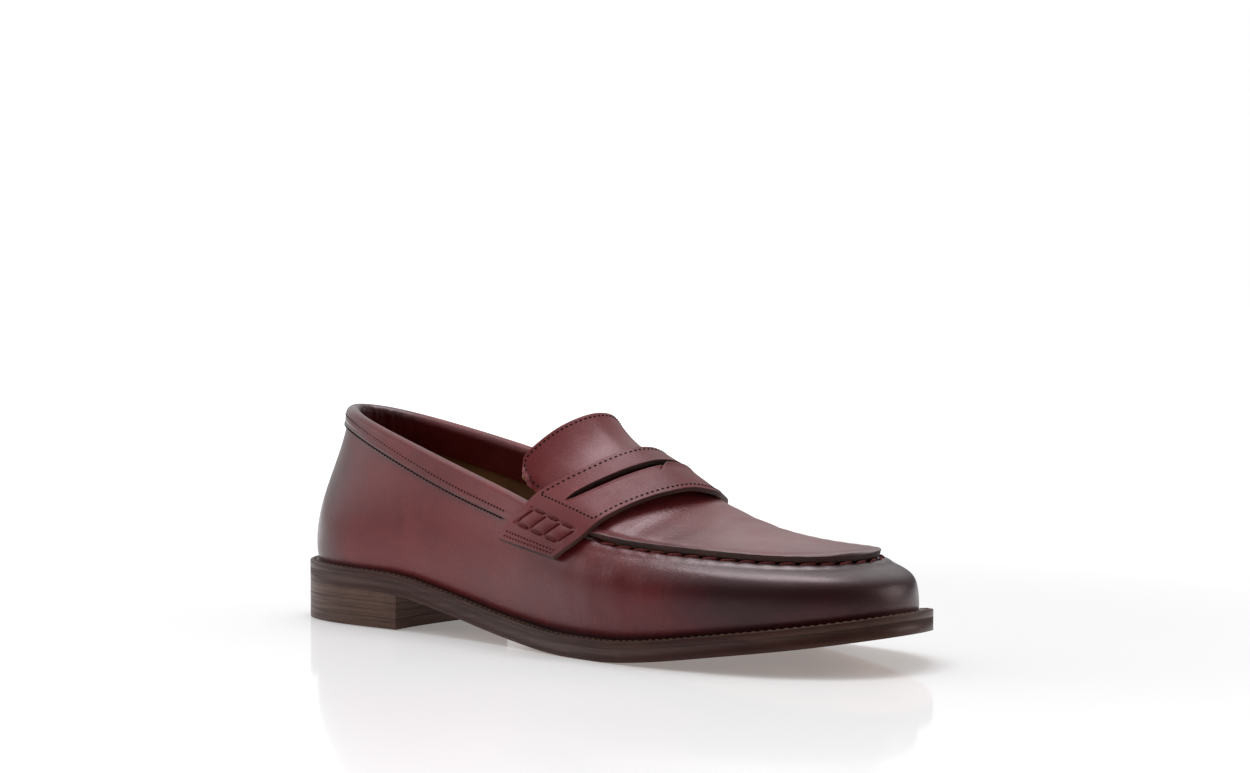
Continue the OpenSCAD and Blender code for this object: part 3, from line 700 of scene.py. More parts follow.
tan_sock = plain_leather(
    "tan_sock", srgb(150, 112, 74), srgb(122, 86, 52), 0.55, 1200, 0.25, contrast=0.3)
sole_edge = layered_edge("sole_edge", srgb(58, 30, 25), srgb(38, 18, 16), srgb(78, 52, 40), 60)
heel_edge = layered_edge("heel_edge", srgb(90, 64, 53), srgb(56, 38, 32), srgb(116, 92, 77), 110)
welt_top = plain_leather("welt_top", srgb(64, 42, 34), srgb(38, 23, 19), 0.5, 800, coat=0.1)
tread = plain_leather("sole_tread", srgb(150, 104, 66), srgb(112, 74, 46), 0.55, 500, stretch=(1.0, 0.5, 1.0))
rubber = plain_leather("heel_rubber", srgb(38, 32, 30), srgb(24, 20, 19), 0.7, 1500, 0.5)
dark_thread = thread_material("dark_thread", srgb(108, 38, 38), srgb(60, 18, 18))
black_thread = thread_material("black_thread", srgb(24, 8, 8), srgb(12, 4, 4))
seam_thread = thread_material("seam_thread", srgb(124, 56, 52), srgb(66, 22, 22))
welt_thread = thread_material("welt_thread", srgb(128, 100, 76), srgb(84, 62, 46))
cork_mat = plain_leather("cork", srgb(168, 122, 78), srgb(104, 70, 42), 0.9, 260, 0.8, contrast=0.9)
foam_mat = plain_leather("foam", srgb(214, 205, 186), srgb(190, 178, 156), 0.95, 1800, 0.6)
fibre_mat = plain_leather("pressed_fibre", srgb(188, 172, 140), srgb(150, 132, 100), 0.9, 900, 0.5)
insole_mat = plain_leather("insole_leather", srgb(176, 136, 96), srgb(140, 102, 68), 0.7, 900, 0.3)
steel = metal("spring_steel", (0.55, 0.56, 0.58, 1), 0.35)
brass = metal("brass_nail", (0.66, 0.50, 0.24, 1), 0.38)

CARRIED = {
    "toe_puff": fibre_mat, "heel_counter": fibre_mat, "collar_padding": foam_mat, "cork_filler": cork_mat,
    "shank": steel, "insole_rib": insole_mat, "insole": insole_mat, "heel_pad": foam_mat,
    "heel_nails": brass, "apron_lining": tan_lining,
}
for name, mat in CARRIED.items():
    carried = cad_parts[name]
    carried.data.materials.clear()
    carried.data.materials.append(mat)


def give(obj, body, slot, *nodes):
    """Ties a mesh to its body and hides the CAD pieces that it stands for; slot is not used."""
    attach(obj, body)
    if nodes:
        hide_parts(*nodes)


# ---------------------------------------------------------------- stitches
def stitch_faces(rings, seg):
    """Faces of one stitch: its tube, and its two ends."""
    faces = []
    for i in range(rings - 1):
        for j in range(seg):
            p, q = i * seg + j, i * seg + (j + 1) % seg
            faces.append((p, q, q + seg, p + seg))
    return faces, [tuple(range(seg))[::-1], tuple(range((rings - 1) * seg, rings * seg))]


def threads(name, a, b, normal, radius, material, lift, sink, seg=8, rings=7):
    """Rows of stitches: each runs from a to b and rises a little in between."""
    nrm = unit(normal)
    count = len(a)
    t = np.linspace(0, 1, rings)
    swell = np.sqrt(np.clip(1 - np.abs(2 * t - 1) ** 3.2, 0, 1)) * 0.93 + 0.07
    rise = np.sin(np.pi * t) * lift - sink
    centre = a[:, None] * (1 - t)[None, :, None] + b[:, None] * t[None, :, None]
    centre = centre + nrm[:, None] * rise[None, :, None]
    side = unit(np.cross(nrm, unit(b - a)))
    ang = np.linspace(0, 2 * np.pi, seg, endpoint=False)
    circle = side[:, None] * np.cos(ang)[None, :, None] + nrm[:, None] * np.sin(ang)[None, :, None] * 0.85
    r = np.broadcast_to(np.asarray(radius, float).reshape(-1, 1, 1, 1), (count, 1, 1, 1))
    points = centre[:, :, None] + circle[:, None] * r * swell[None, :, None, None]
    tube, ends = stitch_faces(rings, seg)
    tube = np.array(tube)
    faces = []
    for n in range(count):
        start = n * rings * seg
        faces += (tube + start).tolist()
        for end in ends:
            faces.append(tuple(start + k for k in end))
    return new_object(name, points.reshape(-1, 3), faces, [material])


def stitch_row(point, normal, t0, t1, pitch, fill):
    """Ends and normals of evenly spaced stitches along a curve point(t), with pitch in millimetres."""
    t = np.linspace(t0, t1, 1200)
    run = np.concatenate([[0], np.cumsum(np.linalg.norm(np.diff(point(t), axis=0), axis=1))])
    count = max(1, int(run[-1] / pitch))
    s = (np.arange(count) + 0.5) * run[-1] / count
    half = run[-1] / count * fill / 2
    a = point(np.interp(s - half, run, t))
    b = point(np.interp(s + half, run, t))
    return a, b, normal(np.interp(s, run, t))


def surface_row(surface, normal, t0, t1, pitch, fill, first=None, second=None):
    """Row of stitches over a surface of two directions, one of which is held still."""
    def at(t):
        if second is None:
            return np.full(t.shape, first), t
        return t, np.full(t.shape, second)
    return stitch_row(lambda t: surface(*at(t)), lambda t: normal(*at(t)), t0, t1, pitch, fill)


def sew(node_name, rows, radius, thread, lift, sink, slot="upper_thread", body="shoe", seg=8, rings=7):
    """Sews rows of stitches, each given as starts, ends and normals, as one piece."""
    a, b, normal = (np.concatenate([row[i] for row in rows]) for i in range(3))
    obj = threads("visual_" + node_name, a, b, normal, radius, thread, lift, sink, seg, rings)
    give(obj, body, slot, node_name)


# ---------------------------------------------------------------- the sole
CUTS = np.concatenate([np.arange(-4, 176, 4.0), [176, 182, 190, 198], np.arange(202, 306, 4.0)])
HEEL_HOLLOW = 3.0
HEEL_HALF = 34


def breast_x(y):
    """The front of the heel, hollowed as an arc."""
    r = (HEEL_HALF**2 + HEEL_HOLLOW**2) / (2 * HEEL_HOLLOW)
    return HEEL_LENGTH - HEEL_HOLLOW + r - np.sqrt(r * r - y * y)


def heel_outline(grow):
    p = welt_line(np.linspace(-3.4, 3.4, 240), grow)
    p = p[p[:, 0] < breast_x(np.clip(p[:, 1], -31.5, 31.5)) - 0.3]
    lateral = p[p[:, 1] < 0]
    medial = p[p[:, 1] >= 0]
    lateral = lateral[np.argsort(lateral[:, 0])]
    medial = medial[np.argsort(-medial[:, 0])]
    y = np.linspace(lateral[-1, 1], medial[0, 1], 40)
    return np.concatenate([lateral, np.stack([breast_x(y), y], -1), medial])


def const(v):
    return lambda x: np.full(np.shape(x), float(v))


def lifted(v):
    return lambda x: sole_under(x) + v


def make_heel():
    """Rubber top piece, two level lifts, and a top lift that follows the sole."""
    levels = [(0.0, TOP_PIECE - 0.04, rubber, "heel_top_piece", "rubber", 0.0)]
    top = TOP_PIECE
    for n, name in enumerate(("heel_lift_lower", "heel_lift_middle")):
        levels.append((top, top + 3.16, heel_edge, name, "stacked_leather", -0.03 + 0.02 * n))
        top += 3.2
    for low, high, face, name, slot, grow in levels:
        faces = [face, heel_edge, face]
        obj = slab("visual_" + name, heel_outline(grow), const(low), const(high), faces, [], 0.12)
        give(obj, "shoe", slot, name)
    faces = [heel_edge, heel_edge, heel_edge]
    cuts = np.arange(4, 72, 4.0)
    obj = slab("visual_heel_lift_upper", heel_outline(-0.03), const(top), lifted(-0.04), faces, cuts, 0.12)
    give(obj, "shoe", "stacked_leather", "heel_lift_upper")


def weigh_rim(mesh):
    """Bevel weight 1 on the outsole's lower rim, where its side meets its underside."""
    co = np.array([v.co for v in mesh.vertices])
    low = np.abs(co[:, 2] * 1000 - sole_under(co[:, 0] * 1000 + shift[0])) < 0.01
    beside = {}
    for face in mesh.polygons:
        for key in face.edge_keys:
            beside.setdefault(key, set()).add(face.material_index)
    weights = [float(low[e.key[0]] and low[e.key[1]] and len(beside[e.key]) > 1) for e in mesh.edges]
    mesh.attributes.new("bevel_weight_edge", "FLOAT", "EDGE").data.foreach_set("value", weights)


def make_outsole():
    outline = welt_line(np.linspace(0, 18, 541)[:-1], 0.0)
    faces = [sole_edge, sole_edge, tread]
    obj = slab("visual_outsole", outline, lifted(0.0), lifted(OUTSOLE), faces, CUTS, 0.0)
    edge = obj.modifiers.new("rounded_edges", "BEVEL")
    edge.width = 0.0005
    edge.segments = 3
    edge.limit_method = "WEIGHT"
    weigh_rim(obj.data)
    give(obj, "shoe", "sole_leather", "outsole")


def make_welt():
    u = np.linspace(0, 18, 721)[:-1]
    inner = foot_line(u, -9.6)
    # up the outer edge and back over the top, each step as distance from the outline and height
    steps = [(-0.04, OUTSOLE + 0.03), (0.0, OUTSOLE + 0.1), (0.0, OUTSOLE + WELT * 0.5), (0.0, STACK - 0.4)]
    steps += [(-0.12, STACK - 0.12), (-0.4, STACK), (-1.0, STACK), (-1.5, STACK)]
    steps += [(-2.2, STACK), (-2.9, STACK)]
    rows = [on_level(inner, OUTSOLE + 0.03)]
    rows += [on_level(welt_line(u, grow), level) for grow, level in steps]
    rows += [on_level(foot_line(u, -0.6), STACK - 0.1), on_level(foot_line(u, -4.0), STACK)]
    rows.append(on_level(inner, STACK))
    g = np.stack(rows, 1)
    n, m = g.shape[:2]
    faces = quads(n, m, True, False).tolist()
    across = np.tile(np.arange(m - 1), n)
    slots = np.where((across >= 1) & (across < 6), 1, 0).tolist() + [0] * n
    for i in range(n):
        a, b = i * m, ((i + 1) % n) * m
        faces.append((a + m - 1, b + m - 1, b, a))
    uv = grid_lengths(g).reshape(-1, 2)
    obj = new_object("visual_welt", g.reshape(-1, 3), faces, [welt_top, sole_edge], slots, uv)
    give(obj, "shoe", "sole_leather", "welt")


def make_sole_stitching():
    def row(grow, level, side, t0, t1, pitch, fill):
        def point(t):
            return on_level(welt_line(t, grow), level)
        return stitch_row(point, lambda t: np.tile(side, (len(t), 1)), t0, t1, pitch, fill)
    top = row(-1.75, STACK, UP, 0, 18, 3.1, 0.66)
    sew("welt_stitching", [top], 0.36, welt_thread, 0.2, 0.12, "welt_thread")
    under = row(-3.4, 0.0, -UP, 3.3, 14.7, 3.4, 0.7)
    sew("sole_stitching", [under], 0.4, welt_thread, 0.1, 0.3, "welt_thread")


# ---------------------------------------------------------------- the upper
def round_heel(u):
    """Station numbers past the toe, counted back from the heel, so that the heel is at 0."""
    return np.where(u > 9, u - 18, u)


def wall_burnish_and_shade(u, v):
    """Where the wall is darkened: burnished toe and heel back, burnishing and painted shade by the welt,
    painted shade under the seams.
    """
    p = wall(u, v)
    x = p[..., 0]
    front = np.abs(u - 9)
    toe = ease((x - 214 + 22 * v) / 50)
    low = ease((0.2 - v) / 0.2) * 0.4
    heel = ease((52 - x) / 46) * 0.9
    # painted shade in the groove under the apron seam
    seam = ease((v - 0.86) / 0.12) * ease((3.6 - front) / 0.3) * 0.35
    # painted shade on the wall under the collar's lower edge
    collar = ease((v - collar_low(round_heel(u)) + 0.10) / 0.1) * ease((front - 3.8) / 0.4) * 0.4
    # burnishing and painted shade along the welt
    by_welt = ease((0.05 - v) / 0.05) * 0.6
    return np.clip(np.maximum.reduce([toe - low, heel, seam, collar, by_welt]), 0, 1)


SEAM_PITCH = 7.4
SEAM_U = np.linspace(5.5, 12.5, 1401)
seam_steps = np.linalg.norm(np.diff(loop_at(TOPLINE, SEAM_U), axis=0), axis=1)
SEAM_LENGTH = np.concatenate([[0], np.cumsum(seam_steps)])


def seam_run(u):
    """Length along the apron seam, in millimetres."""
    return np.interp(u, SEAM_U, SEAM_LENGTH)


def vamp_relief(u, v, toe_side, g):
    """How far the wall stands out: the gathered seam, the folds and the tuck above the welt."""
    # the leather is pulled in at every stitch of the apron seam
    front = ease((3.45 - toe_side) / 0.2)
    pull = np.cos(2 * np.pi * seam_run(np.mod(u, 18)) / SEAM_PITCH)
    h = -front * 0.09 * pull * ease((v - 0.84) / 0.1)
    h -= front * 0.75 * ease((v - 0.955) / 0.045)
    h += front * 0.35 * ease((v - 0.84) / 0.08) * ease((0.985 - v) / 0.04)
    # soft folds where the shoe bends
    x, z = g[..., 0], g[..., 2]
    bend = ease((x - 168) / 20) * ease((232 - x) / 26)
    fold = np.sin(x * 0.42 + z * 0.16 + 1.3 * np.sin(z * 0.11)) + 0.6 * np.sin(x * 0.23 - z * 0.2)
    h += bend * fold * 0.10 * ease(v / 0.3)
    return h - 0.35 * ease((0.07 - v) / 0.1)


def make_vamp():
    u = np.linspace(0.012, 17.988, 700)[:, None]
    toe_side = np.abs(np.mod(u, 18) - 9)
    s = np.concatenate([np.linspace(-0.03, 0.1, 8), np.linspace(0.1, 1, 61)[1:]])[None]
    v = s * mix(1.02, 0.945, ease((toe_side - 3.6) / 0.5))
    g = wall(u, v)
    g = g + wall_normal(u, v) * vamp_relief(u, v, toe_side, g)[..., None]
    skin = [oxblood_wall, edge_dye, flesh]
    obj = leather("visual_wraparound_vamp", g, 0.0, -LEATHER, skin, 0.3, wall_burnish_and_shade(u, v))
    give(obj, "shoe", "upper_leather", "wraparound_vamp")


def make_linings():
    def lining(node_name, u0, u1, top):
        u = np.linspace(u0, u1, int(60 * (u1 - u0)))[:, None]
        g = wall(u, np.linspace(0.02, 1, 30)[None] * top(u))
        skin = [flesh, tan_lining, tan_lining]
        obj = leather("visual_" + node_name, g, -LINING_DEPTH, -LINING_DEPTH - LINING, skin, 0.2)
        give(obj, "shoe", "lining_leather", node_name)

    def back(u):
        return collar_low(round_heel(u)) - 0.03
    lining("vamp_lining", 5.15, 12.85, const(0.94))
    lining("quarter_lining_lateral", 1.95, 5.1, back)
    lining("quarter_lining_medial", 12.9, 16.05, back)
    lining("heel_grip", -1.9, 1.9, back)


# rows of the collar's grid: the seam, and the first of the softer red leather inside
SEAM_ROW = 3.0
RED_ROW = 20


def collar_grid(u, low):
    """Up the outer leg, round the roll and down the inner leg."""
    mid_roll = on_wall(u, 0.952, 0.65 - ROLL)
    out = wall_normal(u, np.full(u.shape, 0.952))
    up = unit(wall(u, 0.96) - wall(u, 0.94))
    rows = [on_wall(u, mix(low, 0.952, t), 0.65) for t in np.linspace(0, 1, 12)]
    for a in np.radians(np.linspace(0, 180, 15)[1:-1]):
        rows.append(mid_roll + out * ROLL * math.cos(a) + up * ROLL * math.sin(a))
    for t in np.linspace(1, 0, 18):
        rows.append(on_wall(u, mix(low - 0.09, 0.952, t), 0.65 - 2 * ROLL))
    return np.concatenate(rows, 1)


def collar_relief(u, j):
    """Gathers inside the heel and a gentle hollow at the stitched seam."""
    inside = ease((j - RED_ROW) / 6.0)
    heel = ease((2.6 - np.abs(u)) / 1.4)
    ripple = np.sin(u * 15 + 0.9 * np.sin(u * 4.3)) * 0.6 + np.sin(u * 27 + 1.1) * 0.4
    ripple = ripple + np.sin(u * 41 + 2.0 * np.sin(u * 3)) * 0.3
    return inside * heel * ripple * 0.26 - 0.28 * np.exp(-((j - SEAM_ROW) / 0.9) ** 2)


def redden(mesh, n, m):
    """Gives the inner leg of the collar the softer red leather."""
    mesh.materials.append(collar_red)
    slots = np.empty(len(mesh.polygons), np.int32)
    mesh.polygons.foreach_get("material_index", slots)
    k = (n - 1) * (m - 1)
    row = np.tile(np.arange(m - 1), n - 1)
    slots[:k] = np.where(row >= RED_ROW, 3, slots[:k])
    mesh.polygons.foreach_set("material_index", slots)


def make_collar():
    u = np.linspace(-4.62, 4.97, 560)[:, None]
    g = collar_grid(u, collar_low(u))
    n, m = g.shape[:2]
    j = np.arange(m)[None]
    g = g + grid_normals(g) * collar_relief(u, j)[..., None]
    # burnished darker at the back of the heel, with painted shade along the lower edge and in the seam's
    # hollow
    tone = 0.8 * ease((3.0 - np.abs(u)) / 2.6) * ease((30 - j) / 8) + 0.6 * np.exp(-(j / 1.5) ** 2)
    tone = np.maximum(tone, 0.25 * np.exp(-((j - SEAM_ROW) / 1.0) ** 2))
    skin = [oxblood_collar, edge_dye, oxblood_collar]
    obj = leather("visual_topline_collar", g, 0.55, -0.55, skin, 0.3, tone)
    redden(obj.data, n, m)
    give(obj, "shoe", "collar_leather", "topline_collar")


def make_collar_stitching():
    """A coarse row in the seam and a fine row above it."""
    def row(above, lift, t0, t1, pitch, fill):
        def point(t):
            return on_wall(t, collar_low(t) + above, lift)
        return stitch_row(point, lambda t: wall_normal(t, collar_low(t)), t0, t1, pitch, fill)
    rows = [row(-0.006, 0.62, -4.55, 4.62, 2.1, 0.55), row(0.056, 1.02, -4.5, 4.66, 1.95, 0.45)]
    radius = np.concatenate([np.full(len(rows[0][0]), 0.58), np.full(len(rows[1][0]), 0.38)])
    sew("collar_stitching", rows, radius, black_thread, 0.15, 0.05)


def make_back_strip():
    u = np.linspace(-0.2, 0.2, 24)[:, None]
    v = np.linspace(0.0, 0.875, 80)[None]
    skin = [oxblood_wall, edge_dye, flesh]
    obj = leather("visual_back_strip", wall(u, v), 0.95, 0.1, skin, 0.25, 0.95)
    give(obj, "shoe", "upper_leather", "back_strip")

    def face(u, v):
        return on_wall(u, v, 0.95)
    rows = [surface_row(face, wall_normal, 0.05, 0.86, 2.1, 0.6, first=s) for s in (-0.15, 0.15)]
    sew("back_strip_stitching", rows, 0.24, black_thread, 0.1, 0.08)


def apron_place(xy):
    """Chord number and place on the chord, for points in plan on the apron."""
    low = np.full(xy.shape[:-1], 0.001)
    high = np.full(xy.shape[:-1], 3.9)

    def side(k):
        a = loop_at(TOPLINE, 9 - k)[..., :2]
        d = loop_at(TOPLINE, 9 + k)[..., :2] - a
        q = xy - a
        return d[..., 0] * q[..., 1] - d[..., 1] * q[..., 0]

    start = -np.sign(side(high))
    for _ in range(30):
        mid_k = (low + high) / 2
        same = np.sign(side(mid_k)) == start
        low = np.where(same, mid_k, low)
        high = np.where(same, high, mid_k)
    k = (low + high) / 2
    a = loop_at(TOPLINE, 9 - k)[..., :2]
    d = loop_at(TOPLINE, 9 + k)[..., :2] - a
    t = 2 * ((xy - a) * d).sum(-1) / np.maximum((d * d).sum(-1), 1e-6) - 1
    return k, np.clip(t, -1, 1)


def apron_height(xy):
    return arch_point(*apron_place(xy))[..., 2]


# distances in from the apron's rim, close together over the seam; the last is where it ends
RIM_STEPS = np.array([0, 0.25, 0.55, 0.9, 1.3, 1.8, 2.4, 3.0, 3.6, 4.2, 5.0, 6.0, 7.5, 9.5])


def apron_plan():
    """Places round the rim, points in plan from the rim to the spine, and their distances from the rim."""
    s = np.sin(np.linspace(-1, 1, 401) * np.pi / 2 * 0.999) * 0.25 + np.linspace(-1, 1, 401) * 0.75
    s = s / s[-1] * 3.32
    rim = loop_at(TOPLINE, 9 + s)
    core = np.maximum(np.sqrt(s * s + 0.25), 1.35)
    spine = (loop_at(TOPLINE, 9 - core) + loop_at(TOPLINE, 9 + core)) / 2
    reach = np.linalg.norm((rim - spine)[:, :2], axis=1)[:, None]
    last = RIM_STEPS[-1]
    q = np.concatenate([RIM_STEPS, np.linspace(12, 100, 19)])[None]
    rest = mix(last / reach, 1.0, np.clip((q - last) / (100 - last), 0, 1))
    frac = np.where(q <= last, q / reach, rest)
    xy = rim[:, None, :2] * (1 - frac[..., None]) + spine[:, None, :2] * frac[..., None]
    return s, xy, frac * reach


def apron_normals(xy):
    e = 0.4
    ax = (apron_height(xy + [e, 0]) - apron_height(xy - [e, 0])) / (2 * e)
    ay = (apron_height(xy + [0, e]) - apron_height(xy - [0, e])) / (2 * e)
    ax, ay = np.clip(ax, -1.6, 1.6), np.clip(ay, -1.6, 1.6)
    nrm = unit(np.stack([-ax, -ay, np.ones_like(ax)], -1))
    nrm[:, :3] = nrm[:, 3:4]
    return nrm


def apron_relief(s, xy, dist):
    """The seam's raised bead and the groove behind it, its gathers, and folds over the ball."""
    h = 0.55 * np.exp(-((dist - 0.3) / 1.5) ** 2) - 0.3 * np.exp(-((dist - 4.0) / 1.3) ** 2)
    x, y = xy[..., 0], xy[..., 1]
    bend = ease((x - 190) / 12) * ease((238 - x) / 26)
    fold = np.sin(x * 0.5 + 0.05 * y + 0.9 * np.sin(y * 0.13)) + 0.5 * np.sin(x * 0.29 - y * 0.12)
    h = h + bend * fold * 0.14 * ease(dist / 6)
    turn = seam_run(9 + s)[:, None]
    return h + 0.04 * np.cos(2 * np.pi * turn / SEAM_PITCH) * np.exp(-(dist / 2.2) ** 2)


def make_apron():
    s, xy, dist = apron_plan()
    nrm = apron_normals(xy)
    base = np.concatenate([xy, apron_height(xy)[..., None]], -1)
    top = base + nrm * (0.25 + APRON + apron_relief(s, xy, dist))[..., None]
    tone = 0.55 * ease((xy[..., 0] - 268) / 16) * ease((dist + 4) / 6) + 0.3 * np.exp(-(dist / 1.2) ** 2)
    skin = [oxblood_apron, edge_dye, flesh]
    obj = shell("visual_apron", top, base + nrm * 0.25, skin, far=False, tone=tone)
    weld(obj)
    soften(obj, 0.3)
    give(obj, "shoe", "upper_leather", "apron")


def make_apron_stitching():
    """Long hand stitches laid along the seam, each leaning a little."""
    count = int((seam_run(12.1) - seam_run(5.9)) / SEAM_PITCH)
    at = (np.arange(count) + 0.5) * SEAM_PITCH + SEAM_PITCH * math.ceil(seam_run(5.9) / SEAM_PITCH)
    u0 = np.interp(at - 3.3, SEAM_LENGTH, SEAM_U)
    u1 = np.interp(at + 3.3, SEAM_LENGTH, SEAM_U)
    row = (on_wall(u0, 0.954, 0.15), on_wall(u1, 0.984, 0.15), wall_normal((u0 + u1) / 2, 0.96))
    sew("apron_stitching", [row], 0.55, seam_thread, 0.22, 0.0, seg=10, rings=9)


def strap_faces(n, m, base, edge, rim, open_here):
    """Faces and slots of one half of the strap: its two sides, its edges and its ends."""
    s = n * m
    upper = quads(n, m, False, True, base).tolist()
    under = quads(n, m, False, False, base + s).tolist()
    cut = []
    for i in range(n - 1):
        for column in (edge, rim):
            if column == edge or open_here[i] or open_here[i + 1]:
                a, b = base + i * m + column, base + (i + 1) * m + column
                cut.append((a, b, s + b, s + a) if column == 0 else (b, a, s + a, s + b))
    for i in (0, n - 1):
        for c in range(m - 1):
            a = base + i * m + c
            cut.append((a, s + a, s + a + 1, a + 1) if i == 0 else (a + 1, s + a + 1, s + a, a))
    return upper + under + cut, [0] * len(upper) + [2] * len(under) + [1] * len(cut)


def strap_half(j, w, rim, lip, open_here):
    """Upper and under side of one half of the strap; lip is how far the keeper closes the slot."""
    g = strap_at(j[:, None], w)
    nrm = -grid_normals(g)
    away = np.linalg.norm(g - g[:, rim:rim + 1], axis=-1)
    h = 0.18 * np.exp(-(away / 0.9) ** 2) * open_here[:, None]
    if rim == 0:
        h += 0.45 * lip[:, None] * np.exp(-(away / 2.2) ** 2)
        h -= 0.6 * keeper_cut(g)
    h += tab_relief(j[:, None], w)
    low = g - nrm * STRAP
    low[0] += unit(g[0] - g[1]) * 0.9
    low[-1] += unit(g[-1] - g[-2]) * 0.9
    return [(g + nrm * h[..., None]).reshape(-1, 3), low.reshape(-1, 3)], [grid_lengths(g).reshape(-1, 2)] * 2


def make_strap():
    """Two halves that part at the slot and are welded where it is closed."""
    j = np.linspace(0, 14, 421)
    t = np.linspace(0, 1, 37)[None]
    half = slot_half(j) * ((j > SLOT_FROM) & (j < SLOT_TO))
    open_here = half > 0.004
    lip = ease((j - 7.0) / 0.3) * ease((9.4 - j) / 0.5)
    start = SLOT_LINE + np.maximum(half - 0.044 * lip * (half > 0.03), 0)
    points, faces, slots, uvs = [], [], [], []
    behind = t * (SLOT_LINE - half)[:, None]
    ahead = start[:, None] + t * (1 - start)[:, None]
    for w, rim, edge in ((behind, 36, 0), (ahead, 0, 36)):
        more_faces, more_slots = strap_faces(421, 37, sum(map(len, points)), edge, rim, open_here)
        more_points, more_uvs = strap_half(j, w, rim, lip, open_here)
        points += more_points
        faces += more_faces
        slots += more_slots
        uvs += more_uvs
    skin = [oxblood_strap, edge_dye, flesh]
    obj = new_object("visual_saddle_strap", np.concatenate(points), faces, skin, slots, np.concatenate(uvs))
    weld(obj)
    soften(obj, 0.35)
    give(obj, "shoe", "upper_leather", "saddle_strap")


def keeper_cut(g):
    """Short curved cut in the front lip of the slot, where its small half-moon keeper starts."""
    t = np.linspace(0, 1, 15)
    line = strap_at(7.02 - 0.3 * t**1.5, 0.46 + 0.1 * t)
    away = np.linalg.norm(g[:, :, None] - line[None, None], axis=-1).min(-1)
    return np.exp(-(away / 0.32) ** 2)


def tab_relief(j, w):
    """Leather of the tabs drawn in under the ladder stitches and swollen in the cells between them."""
    jj = np.minimum(j, 14 - j)
    inside = ease((jj - 0.8) / 0.15) * ease((2.25 - jj) / 0.15)
    inside = inside * ease((w - 0.1) / 0.04) * ease((0.9 - w) / 0.04)
    cell = np.abs(np.sin(np.pi * (w - 0.15 - 0.02 * (jj - 0.98)) / 0.23))
    across = np.sin(np.pi * np.clip((jj - 0.95) / 1.15, 0, 1))
    return inside * (0.85 * np.sqrt(cell * across) - 0.45)


def ladder(end, way):
    """Long stitches of a tab: six up its two sides and four rungs across."""
    a, b = [], []
    for c in range(3):
        w = 0.17 + 0.23 * c
        for off in (0.95, 2.1):
            a.append(on_strap(end + way * off, w, 0.0))
            b.append(on_strap(end + way * off, w + 0.19, 0.0))
    for c in range(4):
        a.append(on_strap(end + way * 0.98, 0.15 + 0.23 * c, 0.0))
        b.append(on_strap(end + way * 2.06, 0.17 + 0.23 * c, 0.0))
    return np.array(a), np.array(b), strap_normal(np.full(10, end + way * 1.5), 0.5)


def make_strap_stitching():
    def row(t0, t1, pitch, fill, **held):
        return surface_row(lambda j, w: on_strap(j, w, 0.0), strap_normal, t0, t1, pitch, fill, **held)
    rows = [row(2.9, 11.1, 2.25, 0.62, second=w) for w in (0.07, 0.93)]
    rows += [row(0.07, 0.93, 2.0, 0.66, first=j) for j in (2.9, 11.1)]
    sew("strap_edge_stitching", rows, 0.36, black_thread, 0.12, 0.08)
    for name, end, way in (("tab_stitching_lateral", 0.0, 1), ("tab_stitching_medial", 14.0, -1)):
        rows = [row(0.07, 0.93, 1.9, 0.6, first=end + way * off) for off in (0.2, 0.42)]
        fine = sum(len(r[0]) for r in rows)
        radius = np.concatenate([np.full(fine, 0.36), np.full(6, 0.5), np.full(4, 0.62)])
        sew(name, rows + [ladder(end, way)], radius, dark_thread, 0.3, 0.15)


def hinge_blend(obj):
    """Bakes the tongue's transform into its mesh."""
    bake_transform(obj)


def tongue_normal(c, w):
    c, w = np.broadcast_arrays(np.asarray(c, float), np.asarray(w, float))
    a = tongue_at(c + 0.05, w) - tongue_at(c - 0.05, w)
    b = tongue_at(c, w + 0.02) - tongue_at(c, w - 0.02)
    n = unit(np.cross(a, b))
    return n * np.sign(n[..., 2:3])


def make_tongue():
    c = np.linspace(8, 0, 150)[:, None]
    w = np.concatenate([np.linspace(-0.5, 0, 12)[:-1], np.linspace(0, 1, 50)])[None]
    g = np.swapaxes(tongue_at(c, w), 0, 1)
    obj = leather("visual_tongue", g, 0.0, -TONGUE, [oxblood_top, oxblood_top, tan_lining], 0.5)
    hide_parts("tongue")
    hinge_blend(obj)
    c = np.linspace(7.72, 0.28, 120)[:, None]
    g = np.swapaxes(tongue_at(c, np.linspace(0.03, 0.95, 40)[None]), 0, 1)
    under = -TONGUE - GAP
    obj = leather("visual_tongue_lining", g, under, under - 0.8, [flesh, tan_lining, tan_lining], 0.2)
    give(obj, "tongue_flap", "lining_leather", "tongue_lining")
    rows = [surface_row(tongue_at, tongue_normal, 0.42, 7.58, 2.2, 0.6, second=0.945)]
    rows += [surface_row(tongue_at, tongue_normal, 0.05, 0.9, 2.2, 0.6, first=k) for k in (0.36, 7.64)]
    sew("tongue_stitching", rows, 0.34, black_thread, 0.12, 0.08, body="tongue_flap")


def make_sock():
    level = STACK + INSOLE_LIFT + 2.6 + GAP

    def low(x):
        return sole_under(x) + level + 2.08 * ease((92 - x) / 18)

    def high(x):
        return low(x) + 1.2
    outline = foot_line(np.linspace(0, 18, 361)[:-1], -7.0)
    obj = slab("visual_sock_liner", outline, low, high, [tan_sock, tan_sock, flesh], CUTS, 0.4)
    give(obj, "shoe", "lining_leather", "sock_liner")


make_outsole()
make_welt()
make_sole_stitching()
make_heel()
make_vamp()
make_linings()
make_collar()
make_collar_stitching()
make_back_strip()
make_apron()
make_apron_stitching()
make_strap()
make_strap_stitching()
make_tongue()
make_sock()


